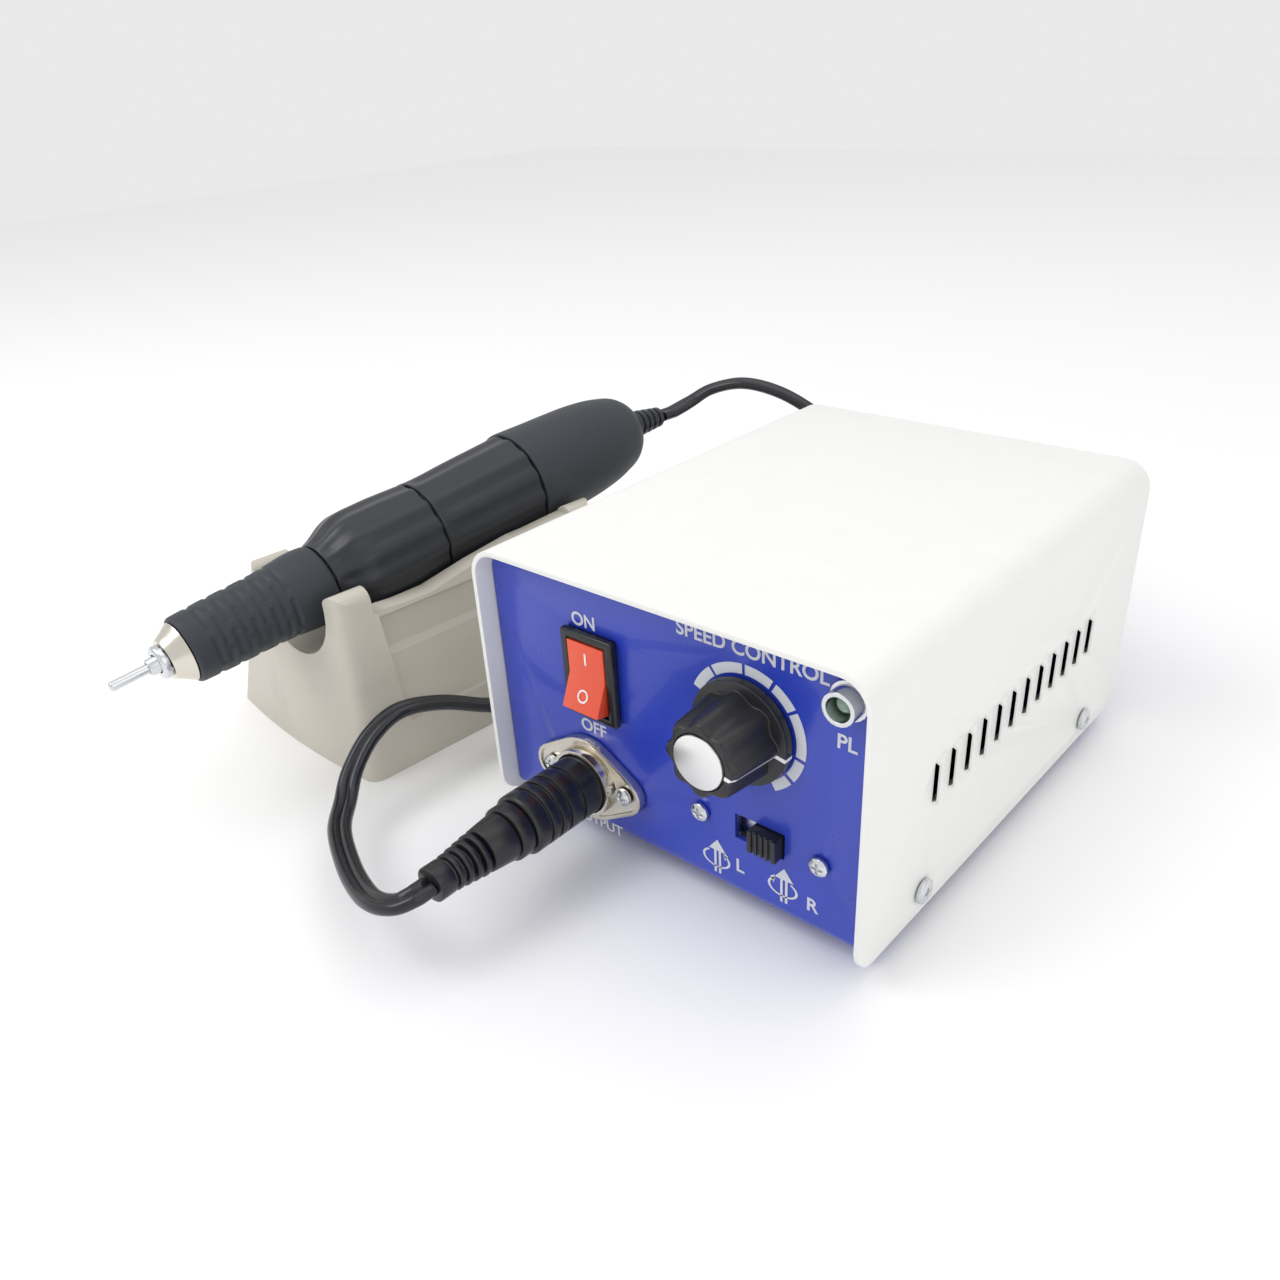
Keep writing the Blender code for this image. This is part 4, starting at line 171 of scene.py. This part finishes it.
MATERIALS = {
    "white_powder_coat": surface("white_powder_coat", (0.84, 0.84, 0.82), 0.42, grain=2600,
                                 bump=0.35, spread=0.02),
    "blue_enamel": surface("blue_enamel", (0.022, 0.05, 0.46), 0.30, grain=1800, bump=0.12,
                           coat=0.3),
    "black_plastic": surface("black_plastic", (0.012, 0.012, 0.014), 0.30, spread=0.25),
    "soft_grip_rubber": surface("soft_grip_rubber", (0.026, 0.031, 0.040), 0.55, grain=4000,
                                bump=0.25, spread=0.15),
    "satin_black_coat": surface("satin_black_coat", (0.016, 0.018, 0.024), 0.34, grain=4000,
                                bump=0.2, spread=0.15),
    "red_plastic": surface("red_plastic", (0.78, 0.075, 0.022), 0.28, coat=0.3),
    "nickel_plate": surface("nickel_plate", (0.70, 0.66, 0.58), 0.22, 1.0, bump=0.05),
    "bright_steel": surface("bright_steel", (0.68, 0.70, 0.72), 0.22, 1.0, bump=0.06),
    "spun_aluminium": surface("spun_aluminium", (0.84, 0.84, 0.84), 0.30, 1.0,
                              anisotropic=0.85),
    "brass": surface("brass", (0.78, 0.60, 0.28), 0.30, 1.0),
    "copper": surface("copper", (0.80, 0.42, 0.25), 0.35, 1.0),
    "beige_plastic": surface("beige_plastic", (0.56, 0.53, 0.46), 0.40, spread=0.04,
                             bump=0.15),
    "cord_sheath": surface("cord_sheath", (0.012, 0.013, 0.018), 0.22, spread=0.2, bump=0.15),
    "foot_rubber": surface("foot_rubber", (0.03, 0.03, 0.03), 0.75, spread=0.2),
    "green_lens": surface("green_lens", (0.20, 0.30, 0.22), 0.12, coat=0.6),
    "laminated_iron": surface("laminated_iron", (0.25, 0.25, 0.26), 0.55, 1.0),
    "circuit_board": surface("circuit_board", (0.05, 0.25, 0.10), 0.50),
    "tie_strap": surface("tie_strap", (0.02, 0.02, 0.02), 0.85, grain=3000, bump=0.4),
}
PRINT = surface("panel_print", (0.62, 0.64, 0.70), 0.45, spread=0.06)
WHITE_MARK = surface("white_mark", (0.86, 0.86, 0.86), 0.40, spread=0.04)
FLOOR_PAINT = surface("floor_paper", (0.95, 0.95, 0.95), 0.75, grain=60, bump=0.02,
                      spread=0.005)


# Mesh helpers
def show(name, mesh, nodes, finish=None, body=None, slot=None, bend=None):
    """A piece in the scene. It rides and is finished as the first of the nodes it replaces;
    a piece given a bend is only fixed in place and rides no body."""
    made = bpy.data.objects.new(name, mesh)
    SCENE.collection.objects.link(made)
    slot = slot or SLOT_OF[nodes[0]]
    mesh.materials.clear()
    mesh.materials.append(finish or MATERIALS[slot])
    if bend:
        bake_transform(made)
    else:
        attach(made, body or BODY_OF[nodes[0]])
    if nodes:
        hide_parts(*nodes)
    return made


def filled(name, fill, matrix=None):
    shape = bmesh.new()
    fill(shape)
    bmesh.ops.recalc_face_normals(shape, faces=shape.faces)
    mesh = bpy.data.meshes.new(name)
    shape.to_mesh(mesh)
    shape.free()
    if matrix:
        mesh.transform(matrix)
    return mesh


def rounded(mesh, width, segments=3, angle=32):
    """The mesh with its sharp edges rounded and its gentle ones shaded smooth."""
    holder = bpy.data.objects.new("holder", mesh)
    SCENE.collection.objects.link(holder)
    bevel = holder.modifiers.new("rounded edges", "BEVEL")
    bevel.width = width
    bevel.segments = segments
    bevel.limit_method = "ANGLE"
    bevel.angle_limit = math.radians(angle)
    bpy.context.view_layer.update()
    graph = bpy.context.evaluated_depsgraph_get()
    made = bpy.data.meshes.new_from_object(holder.evaluated_get(graph))
    bpy.data.objects.remove(holder)
    made.polygons.foreach_set("use_smooth", [True] * len(made.polygons))
    made.set_sharp_from_angle(angle=SMOOTH_ANGLE)
    return made


def dress(node, width, segments=3, angle=32):
    """A CAD node's own shape with rounded edges."""
    shape = bmesh.new()
    shape.from_mesh(frame["nodes"][node].data)
    bmesh.ops.remove_doubles(shape, verts=shape.verts, dist=SAME_PLACE)
    bmesh.ops.dissolve_limit(shape, angle_limit=SAME_PLANE, verts=shape.verts,
                             edges=shape.edges)
    mesh = bpy.data.meshes.new(node)
    shape.to_mesh(mesh)
    shape.free()
    show(f"{node}_look", rounded(mesh, width, segments, angle), [node])


def loft(name, rings, closed, matrix):
    """A skin over rings of equal count. A closed one joins its last ring to its first."""
    def fill(shape):
        rows = [[shape.verts.new(point) for point in ring] for ring in rings]
        pairs = list(zip(rows, rows[1:]))
        if closed:
            pairs.append((rows[-1], rows[0]))
        else:
            shape.faces.new(rows[0])
            shape.faces.new(rows[-1])
        for low, high in pairs:
            for index in range(len(low)):
                after = (index + 1) % len(low)
                shape.faces.new((low[index], low[after], high[after], high[index]))
    return filled(name, fill, matrix)


def ring(height, radius, sides, lobes=0, depth=0.0):
    points = []
    for side in range(sides):
        angle = math.tau * side / sides
        reach = radius - depth * (0.5 - 0.5 * math.cos(lobes * angle))
        points.append((reach * math.cos(angle), reach * math.sin(angle), height))
    return points


def smooth_profile(shares, start, length, radius, steps):
    """Heights and radii from shares, with points between them on a smooth line."""
    pairs = [(start + along * length, out * radius) for along, out in shares]
    line = []
    for index in range(len(pairs) - 1):
        before = pairs[max(0, index - 1)]
        here, there = pairs[index], pairs[index + 1]
        after = pairs[min(len(pairs) - 1, index + 2)]
        for step in range(steps):
            t = step / steps
            line.append(tuple((b * 2 + (c - a) * t + (a * 2 - b * 5 + c * 4 - d) * t * t
                               + (b * 3 - a - c * 3 + d) * t ** 3) / 2
                              for a, b, c, d in zip(before, here, there, after)))
    return line + [pairs[-1]]


# Camera
lens = bpy.data.cameras.new("camera")
lens.sensor_width = 36.0
lens.lens = CAMERA_LENS
lens.shift_x, lens.shift_y = CAMERA_SHIFT
lens.clip_start = 0.01
camera = bpy.data.objects.new("camera", lens)
columns = (Vector(CAMERA_RIGHT), -Vector(CAMERA_DOWN), -Vector(CAMERA_FORWARD))
camera.matrix_world = (BENCH @ Matrix.Translation(CAMERA_PLACE)
                       @ Matrix(columns).transposed().to_4x4())
SCENE.collection.objects.link(camera)
SCENE.camera = camera


# Cord
def smooth_route(control):
    """A smooth line through the points from the second to the last but one."""
    line = [control[0]]
    for index in range(1, len(control) - 2):
        before, here, there, after = control[index - 1:index + 3]
        for step in range(CORD_STEPS):
            t = step / CORD_STEPS
            line.append((here * 2 + (there - before) * t
                         + (before * 2 - here * 5 + there * 4 - after) * t * t
                         + (here * 3 - before - there * 3 + after) * t ** 3) / 2)
    return line + control[-2:]


def coil_points():
    points = []
    climb_start = (COIL_TURNS - COIL_CLIMB_TURNS) / 2
    count = round(COIL_TURNS * COIL_POINTS)
    x, y, z = COIL_CENTRE
    for number in range(count + 1):
        turn = COIL_TURNS * number / count
        radius = COIL_RADIUS - COIL_PITCH * min(turn, COIL_TURNS - turn)
        angle = math.pi - math.tau * turn
        rise = min(1.0, max(0.0, (turn - climb_start) / COIL_CLIMB_TURNS))
        points.append(Vector((x + radius * math.cos(angle), y + radius * math.sin(angle),
                              z + COIL_LAYER * rise)))
    straight = Vector((0, -CORD_RADIUS * 2, 0))
    return [points[0] + straight] + points + [points[-1] + straight]


def cord_section():
    """The outline of two strands side by side."""
    strand = CORD_THICKNESS / 2
    centre = CORD_WIDTH / 2 - strand
    lean = math.acos(centre / strand)
    outline = []
    for side in (1, -1):
        for step in range(CORD_ROUND_STEPS):
            angle = (lean - math.pi) + (math.pi - lean) * 2 * step / (CORD_ROUND_STEPS - 1)
            outline.append((side * (centre + strand * math.cos(angle)),
                            side * strand * math.sin(angle)))
    return outline


def make_cord():
    coil = coil_points()
    diameter = CORD_RADIUS * 2
    start = Vector((SOCKET[0], SOCKET[1] - PLUG_END - CLEARANCE, SOCKET[2]))
    step_back = Vector((0, diameter, 0))
    front = [start, start - step_back * CORD_EXIT_SHARE,
             *[Vector(point) for point in FRONT_ROUTE],
             coil[0] - step_back, coil[0]]
    relief = (BENCH.inverted() @ HAND @ Matrix.Translation((0, 0, TAIL_END))
              @ Matrix.Rotation(-RELIEF_DROOP, 4, "X"))
    rear = [coil[-1], coil[-1] - step_back, *[Vector(point) for point in REAR_ROUTE],
            relief @ Vector((0, 0, RELIEF_LENGTH + diameter)),
            relief @ Vector((0, 0, RELIEF_LENGTH + CLEARANCE))]
    line = smooth_route(front)[:-1] + coil + smooth_route(rear)[1:]
    line = [BENCH @ point for point in line]
    outline = cord_section()
    rings = []
    for index, point in enumerate(line):
        ahead = line[min(index + 1, len(line) - 1)] - line[max(index - 1, 0)]
        across = ahead.cross(Vector((0, 0, 1))).normalized()
        up = across.cross(ahead).normalized()
        rings.append([point + across * x + up * y for x, y in outline])
    mesh = loft("cord", rings, False, None)
    cord = show("cord", rounded(mesh, CORD_EDGE, 1, CORD_EDGE_ANGLE),
                ["cord_front", "cord_coil", "cord_rear"],
                bend=("control_box", "handpiece", CORD_STAYS, CORD_LIFTS))
    make_plug() + [frame["nodes"]["cord_tie"]]


# Plug
PLUG_RADIUS = 0.0072
PLUG_EDGE = 0.0005
PLUG_SEAT = (-0.0046, -0.0041)
PLUG_GROOVES = (0.0102, 0.0146, 0.0175, 0.0204)
PLUG_GROOVE_HALF = 0.00035
PLUG_SHELL_END = 0.0243
PLUG_RING = (0.0064, 0.0036)
PLUG_RING_EDGE = 0.0004
BOOT_RADII = (0.0058, 0.0051, 0.0032, 0.0040)
BOOT_LENGTHS = (0.0066, 0.0094, 0.0040)
BOOT_RIBS = 4
BOOT_GAP_SHARE = 0.36
BOOT_EDGE = 0.0003


def turned_solid(name, profile, matrix, sides=72, edge=0.00015):
    rings = [ring(height, radius, sides) for height, radius in profile]
    return rounded(loft(name, rings, False, matrix), edge, 2)


def make_plug():
    place = BENCH @ Matrix.Translation(SOCKET) @ OUT_OF_PANEL
    inner = PLUG_RADIUS - PLUG_EDGE
    profile = [(PLUG_SEAT[0], inner), (PLUG_SEAT[1], PLUG_RADIUS)]
    for groove in PLUG_GROOVES:
        low, high = groove - PLUG_GROOVE_HALF, groove + PLUG_GROOVE_HALF
        profile += [(low, PLUG_RADIUS), (low, inner), (high, inner), (high, PLUG_RADIUS)]
    profile += [(PLUG_SHELL_END - PLUG_EDGE, PLUG_RADIUS), (PLUG_SHELL_END, inner)]
    made = [show("plug_shell_look", turned_solid("plug_shell", profile, place),
                 ["plug_shell"])]
    low = PLUG_SHELL_END + CLEARANCE
    high = low + PLUG_RING[1]
    profile = [(low, PLUG_RING[0]), (high, PLUG_RING[0])]
    made.append(show("plug_ring_look",
                     turned_solid("plug_ring", profile, place, edge=PLUG_RING_EDGE),
                     ["plug_ring"]))
    wide, waist, core, end = BOOT_RADII
    start = high + CLEARANCE
    ribs = start + BOOT_LENGTHS[0]
    profile = [(start, wide), (ribs, waist), (ribs, core)]
    pitch = BOOT_LENGTHS[1] / (BOOT_RIBS + BOOT_GAP_SHARE)
    for number in range(BOOT_RIBS):
        low = ribs + pitch * (number + BOOT_GAP_SHARE)
        high = ribs + pitch * (number + 1)
        radius = waist + (end - waist) * (number + 0.5) / BOOT_RIBS
        profile += [(low, core), (low, radius), (high, radius), (high, core)]
    last = ribs + BOOT_LENGTHS[1]
    profile += [(last, core), (last, end), (last + BOOT_LENGTHS[2], end)]
    made.append(show("plug_boot_look",
                     turned_solid("plug_boot", profile, place, edge=BOOT_EDGE),
                     ["plug_boot"]))
    return made


make_cord()

# Handpiece: stations along its axis from the tool's tip, and outlines as shares
HAND_SIDES = 168
HAND_STEPS = 6
PIN_RADIUS = 0.001175
PIN_PROFILE = [(0, 0.0008), (0.0004, PIN_RADIUS), (0.030, PIN_RADIUS)]
PIN_SIDES = 32
PIN_EDGE = 0.0001
GUARD = (0.0115, 0.0018, 0.0042)
GUARD_SHARES = [(0.0, 0.86), (0.3, 1.0), (1.0, 1.0)]
NOSE = (0.0136, 0.0042, 0.0076)
NOSE_SHARES = [(0.0, 0.66), (0.12, 0.70), (0.40, 0.79), (0.92, 0.98), (1.0, 1.0)]
GRIP = (0.0181, 0.0381, 0.0102)
GRIP_SHARES = [
    (0.0, 0.775), (0.012, 0.822), (0.035, 0.840), (0.11, 0.853), (0.27, 0.877),
    (0.475, 0.892), (0.63, 0.912), (0.735, 0.951), (0.84, 0.994), (0.92, 1.0),
    (0.98, 0.98), (1.0, 0.951)]
LOCK = (0.0567, 0.0311, 0.01425)
LOCK_SHARES = [
    (0.0, 0.695), (0.10, 0.786), (0.23, 0.926), (0.345, 0.993), (0.50, 1.0), (0.65, 0.997),
    (0.85, 0.976), (1.0, 0.958)]
SLEEVE = (0.0883, 0.0329, 0.01465)
SLEEVE_SHARES = [
    (0.0, 0.928), (0.24, 0.939), (0.45, 0.962), (0.66, 0.976), (0.88, 0.99), (1.0, 1.0)]
TAIL = (0.1217, 0.0474, 0.0149)
TAIL_SHARES = [
    (0.0, 0.99), (0.034, 1.0), (0.215, 0.973), (0.384, 0.953), (0.553, 0.926),
    (0.70, 0.872), (0.806, 0.799), (0.87, 0.738), (0.912, 0.664), (0.95, 0.564),
    (0.98, 0.423), (1.0, 0.329)]
FLUTES = 14
FLUTE_DEPTH = 0.0005
FLUTE_RUN = 0.003
SLEEVE_WALL = 0.0012
DENT_ROWS = 9
DENT_FIRST = 0.0055
DENT_PITCH = 0.0026
DENT_HALF = 0.0008
DENT_DEPTH = 0.00035
DENT_COUNT = 6
DENT_STEPS = 14
DENT_WIDTH_SHARE = 0.85
DENT_FALL = 8


def hand_sleeve(node, spec, shares, flutes=0, dents=False, edge=0.0003):
    """A turned shell of the handpiece, with flutes or rows of shallow dents if asked for."""
    start, length, radius = spec
    steps = DENT_STEPS if dents else HAND_STEPS
    line = smooth_profile(shares, start, length, radius, steps)
    rings = []
    for height, reach in line:
        depth = FLUTE_DEPTH * min(1.0, (height - start) / FLUTE_RUN) if flutes else 0.0
        points = ring(height, reach, HAND_SIDES, flutes, depth)
        row = round((height - start - DENT_FIRST) / DENT_PITCH)
        off = abs(height - start - DENT_FIRST - row * DENT_PITCH) / DENT_HALF
        if dents and 0 <= row < DENT_ROWS and off < 1:
            sink = DENT_DEPTH * (1 - off * off)
            points = [dented(point, sink, row % 2) for point in points]
        rings.append(points)
    for height, reach in ((line[-1][0], line[-1][1] - SLEEVE_WALL),
                          (line[0][0], line[0][1] - SLEEVE_WALL)):
        rings.append(ring(height, reach, HAND_SIDES))
    show(f"{node}_look", rounded(loft(node, rings, True, HAND), edge, 2, 50), [node])


def dented(point, sink, odd):
    """A point moved inwards where a dent of its row is."""
    x, y, z = point
    turn = math.atan2(y, x) / math.tau * DENT_COUNT + odd * 0.5
    inside = max(0.0, DENT_WIDTH_SHARE - abs(turn - round(turn)) * 2)
    share = min(1.0, inside * DENT_FALL)
    reach = math.hypot(x, y)
    scale = (reach - sink * share) / reach
    return (x * scale, y * scale, z)


hand_sleeve("nose_cone", NOSE, NOSE_SHARES)
hand_sleeve("grip_sleeve", GRIP, GRIP_SHARES, dents=True)
hand_sleeve("lock_sleeve", LOCK, LOCK_SHARES, FLUTES)
hand_sleeve("rear_sleeve", SLEEVE, SLEEVE_SHARES, FLUTES)
hand_sleeve("tail_cap", TAIL, TAIL_SHARES)
hand_sleeve("guard_ring", GUARD, GUARD_SHARES)
show("tool_pin_look", turned_solid("tool_pin", PIN_PROFILE, HAND, PIN_SIDES, PIN_EDGE),
     ["tool_pin"])
dress("collet", 0.0001)
dress("strain_relief", 0.0002)

# Speed knob, with its face towards its own +Z
KNOB = (BENCH @ Matrix.Translation((KNOB_CENTRE[0], PANEL_Y, KNOB_CENTRE[1]))
        @ OUT_OF_PANEL)
KNOB_SIDES = 192
KNOB_LOBES = 8
KNOB_LOBE_DEPTH = 0.0012
KNOB_LOW = 0.0008
SKIRT_TOP = 0.0030
SKIRT_RADIUS = 0.0113
KNOB_TOP = 0.0150
KNOB_FOOT_RADIUS = 0.0095
KNOB_FACE_RADIUS = 0.0085
KNOB_EDGE = 0.0006
KNOB_ROUNDING = 0.0003
KNOB_ROUNDING_ANGLE = 40
CAP_SINK = 0.0005
CAP_HEIGHT = 0.0009
CAP_SIDES = 96
CAP_ROUNDING = 0.0002
CAP_RADIUS = 0.00575
CAP_SEAT = 0.00605
POINTER_ANGLE = math.radians(-10)
POINTER_HALF = 0.00045
MARK_LIFT = 0.00005


def make_knob():
    outline = [(KNOB_LOW, SKIRT_RADIUS, 0), (SKIRT_TOP, SKIRT_RADIUS, 0),
               (SKIRT_TOP, KNOB_FOOT_RADIUS, KNOB_LOBES),
               (KNOB_TOP - KNOB_EDGE * 2, KNOB_FACE_RADIUS, KNOB_LOBES),
               (KNOB_TOP, KNOB_FACE_RADIUS - KNOB_EDGE, KNOB_LOBES),
               (KNOB_TOP, CAP_SEAT, 0), (KNOB_TOP - CAP_SINK, CAP_SEAT, 0)]
    rings = [ring(height, radius, KNOB_SIDES, lobes, KNOB_LOBE_DEPTH)
             if lobes else ring(height, radius, KNOB_SIDES)
             for height, radius, lobes in outline]
    body = loft("knob", rings, False, KNOB)
    show("speed_knob_look", rounded(body, KNOB_ROUNDING, 3, KNOB_ROUNDING_ANGLE),
         ["speed_knob"])
    low = KNOB_TOP - CAP_SINK
    cap = [(low, CAP_RADIUS), (low + CAP_HEIGHT, CAP_RADIUS)]
    show("knob_cap_look", turned_solid("knob_cap", cap, KNOB, CAP_SIDES, CAP_ROUNDING),
         ["knob_cap"])

    def fill(shape):
        """The pointer, from the cap's edge down to the skirt's foot."""
        rows = []
        for height, radius, lobes in outline[-2::-1]:
            row = []
            for side in (-1, 0, 1):
                angle = POINTER_ANGLE + side * POINTER_HALF / radius
                sink = KNOB_LOBE_DEPTH * (0.5 - 0.5 * math.cos(lobes * angle))
                reach = radius - sink + MARK_LIFT
                row.append(shape.verts.new((reach * math.cos(angle), reach * math.sin(angle),
                                            height + MARK_LIFT)))
            rows.append(row)
        for low_row, high_row in zip(rows, rows[1:]):
            for index in (0, 1):
                shape.faces.new((low_row[index], low_row[index + 1], high_row[index + 1],
                                 high_row[index]))
    show("knob_pointer", filled("pointer", fill, KNOB), [], WHITE_MARK, "speed_knob",
         "black_plastic")


make_knob()

# Box, stand and small pieces, rounded from the CAD shapes
ROUNDINGS = {
    "cover": 0.0004, "chassis": 0.0004, "handpiece_stand": 0.0009, "rocker_housing": 0.0004,
    "rocker": 0.0003, "socket_flange": 0.0002, "slide_button": 0.00012,
    "slide_switch_body": 0.0002, "potentiometer_nut": 0.0002, "lamp_bezel": 0.0002,
    "mains_gland": 0.0003, "fuse_holder": 0.0004, "foot_switch_jack": 0.0003}
SCREW_ROUNDING = 0.00012
FOOT_ROUNDING = 0.0004
LENS_ROUNDING = 0.0001
LENS_EDGE_ANGLE = 70

for node, width in ROUNDINGS.items():
    dress(node, width)
for name in [node for node in SLOT_OF if "_screw_" in node]:
    dress(name, SCREW_ROUNDING, 2)
for name in [node for node in SLOT_OF if node.startswith("foot_") and "jack" not in node]:
    dress(name, FOOT_ROUNDING)
dress("lamp_lens", LENS_ROUNDING, 2, LENS_EDGE_ANGLE)

# Panel print. Angles are seen from the front, anticlockwise from the right.
DIAL_ARCS = ((157, 130), (127, 94), (91, 63.5), (60, 35.6), (32.5, -10.3), (-14, -36),
             (-40, -60))
DIAL_RADII = (0.0117, 0.0139)
DIAL_STEP = math.radians(2)
LETTER_THICKNESS = 0.00006
LETTER_WEIGHT_SHARE = 0.02
LETTERS = [
    ("ON", 0.0294, 0.0590, 0.0044), ("OFF", 0.0298, 0.0323, 0.0044),
    ("SPEED CONTROL", 0.0728, 0.0656, 0.0045), ("PL", 0.0945, 0.0535, 0.0044),
    ("OUTPUT", 0.0284, 0.0058, 0.0040), ("L", 0.0702, 0.0130, 0.0046),
    ("R", 0.0882, 0.0119, 0.0046)]
TURN_ICONS = ((0.0640, 0.0122, 1), (0.0811, 0.0129, -1))
ICON_RADII = (0.0037, 0.0020)
ICON_LINE = 0.0006
ICON_TURN = (math.radians(125), math.radians(415))
ICON_SQUASH_SHARE = 0.62
ICON_NECK_SHARE = 0.6
ICON_TIP_SHARE = 1.4
ICON_HOOK_SHARES = (1.3, 0.9, 0.2)
ICON_HOOK_REACH = (0.0011, 0.0002)


def panel_place(x, z):
    return BENCH @ Matrix.Translation((x, PANEL_Y - MARK_LIFT, z)) @ OUT_OF_PANEL


def arc_band(shape, inner, outer, start, end, squash=1.0):
    """A flat band between two radii, from one angle to another."""
    steps = max(2, round(abs(end - start) / DIAL_STEP))
    rows = []
    for step in range(steps + 1):
        angle = start + (end - start) * step / steps
        rows.append([shape.verts.new((radius * math.cos(angle),
                                      radius * squash * math.sin(angle), 0))
                     for radius in (inner, outer)])
    for here, there in zip(rows, rows[1:]):
        shape.faces.new((here[0], here[1], there[1], there[0]))


def flat_face(shape, points):
    shape.faces.new([shape.verts.new((x, y, 0)) for x, y in points])


def print_mark(name, fill, place, body="control_box", slot="blue_enamel", finish=PRINT):
    """A flat mark, as thick as a coat of print."""
    def thick(shape):
        fill(shape)
        made = bmesh.ops.extrude_face_region(shape, geom=shape.faces[:])
        raised = [part for part in made["geom"] if isinstance(part, bmesh.types.BMVert)]
        bmesh.ops.translate(shape, verts=raised, vec=(0, 0, LETTER_THICKNESS))
    show(name, filled(name, thick, place), [], finish, body, slot)


def letters(name, text, size, place, body="control_box", slot="blue_enamel"):
    curve = bpy.data.curves.new(name, "FONT")
    curve.body = text
    curve.size = size
    curve.align_x = "CENTER"
    curve.align_y = "CENTER"
    curve.offset = size * LETTER_WEIGHT_SHARE
    curve.extrude = LETTER_THICKNESS / 2
    holder = bpy.data.objects.new(name, curve)
    SCENE.collection.objects.link(holder)
    bpy.context.view_layer.update()
    graph = bpy.context.evaluated_depsgraph_get()
    mesh = bpy.data.meshes.new_from_object(holder.evaluated_get(graph))
    bpy.data.objects.remove(holder)
    mesh.transform(place)
    show(name, mesh, [], PRINT, body, slot)


def dial(shape):
    for start, end in DIAL_ARCS:
        arc_band(shape, *DIAL_RADII, math.radians(start), math.radians(end))


def turn_icon(hand):
    """An upright arrow with a turning line around it."""
    wide, low = ICON_RADII

    def fill(shape):
        neck = wide * ICON_NECK_SHARE
        arc_band(shape, wide - ICON_LINE, wide, *ICON_TURN, ICON_SQUASH_SHARE)
        for left in (-ICON_LINE, ICON_LINE):
            right = left + ICON_LINE
            flat_face(shape, [(left, -wide), (right, -wide), (right, neck), (left, neck)])
        flat_face(shape, [(-low, neck), (low + ICON_LINE, neck),
                          (ICON_LINE / 2, wide * ICON_TIP_SHARE)])
        high, middle, foot = [low * share for share in ICON_HOOK_SHARES]
        outer, inner = [low + reach for reach in ICON_HOOK_REACH]
        flat_face(shape, [(hand * low, high), (hand * outer, middle), (hand * inner, foot)])
    return fill


print_mark("dial_arcs", dial, panel_place(*KNOB_CENTRE))
for number, (text, x, z, size) in enumerate(LETTERS):
    letters(f"label_{number}", text, size, panel_place(x, z))
for number, (x, z, hand) in enumerate(TURN_ICONS):
    print_mark(f"turn_icon_{number}", turn_icon(hand), panel_place(x, z))

# Marks on the rocker's two faces
ROCKER_AXIS = (0.0315, 0.0040, 0.0467)
ROCKER_LEAN = math.radians(11.5)
ROCKER_MIDDLE = 0.0018
ROCKER_RISE = 0.0016
ROCKER_HALF = 0.0078
ROCKER = (BENCH @ Matrix.Translation(ROCKER_AXIS) @ Matrix.Rotation(-ROCKER_LEAN, 4, "X"))
ROCKER_SLOPE = math.atan2(ROCKER_RISE, ROCKER_HALF)
ROCKER_MARKS = ((0.0043, 1), (-0.0042, -1))
ON_MARK_HALF = 0.00025
ON_MARK_REACH = 0.0014
OFF_MARK_RADII = (0.0011, 0.0015)


def rocker_place(height, side):
    depth = ROCKER_MIDDLE + abs(height) * math.tan(ROCKER_SLOPE) + MARK_LIFT
    return (ROCKER @ Matrix.Translation((0, -depth, height))
            @ Matrix.Rotation(math.pi / 2 + side * ROCKER_SLOPE, 4, "X"))


def on_mark(shape):
    flat_face(shape, [(-ON_MARK_HALF, -ON_MARK_REACH), (ON_MARK_HALF, -ON_MARK_REACH),
                      (ON_MARK_HALF, ON_MARK_REACH), (-ON_MARK_HALF, ON_MARK_REACH)])


def off_mark(shape):
    arc_band(shape, *OFF_MARK_RADII, 0, math.tau)


print_mark("rocker_on_mark", on_mark, rocker_place(*ROCKER_MARKS[0]), "rocker",
           "red_plastic", WHITE_MARK)
print_mark("rocker_off_mark", off_mark, rocker_place(*ROCKER_MARKS[1]), "rocker",
           "red_plastic", WHITE_MARK)

# The CAD nodes that stay as they are
for node, piece in frame["nodes"].items():
    piece.data.materials.clear()
    piece.data.materials.append(MATERIALS[SLOT_OF[node]])

# Floor and studio light
FLOOR_SIZE = 3.0
WORLD_STRENGTH = 0.82
LAMPS = (
    ("key", (-0.35, -0.45, 0.75), 0.50, 2.4),
    ("side", (0.75, -0.15, 0.45), 0.60, 0.7),
    ("top", (0.05, 0.15, 0.95), 0.80, 1.2))


def floor_face(shape):
    bmesh.ops.create_grid(shape, x_segments=1, y_segments=1, size=FLOOR_SIZE / 2)


floor = bpy.data.objects.new("floor", filled("floor", floor_face))
floor.data.materials.append(FLOOR_PAINT)
SCENE.collection.objects.link(floor)

for name, place, size, power in LAMPS:
    light = bpy.data.lights.new(name, "AREA")
    light.shape = "SQUARE"
    light.size = size
    light.energy = power
    lamp = bpy.data.objects.new(name, light)
    lamp.location = place
    lamp.rotation_euler = (-Vector(place)).to_track_quat("-Z", "Y").to_euler()
    SCENE.collection.objects.link(lamp)

world = bpy.data.worlds.new("studio")
world.use_nodes = True
world.node_tree.nodes["Background"].inputs["Color"].default_value = (1.0, 1.0, 1.0, 1.0)
world.node_tree.nodes["Background"].inputs["Strength"].default_value = WORLD_STRENGTH
SCENE.world = world
SCENE.view_settings.view_transform = "Standard"
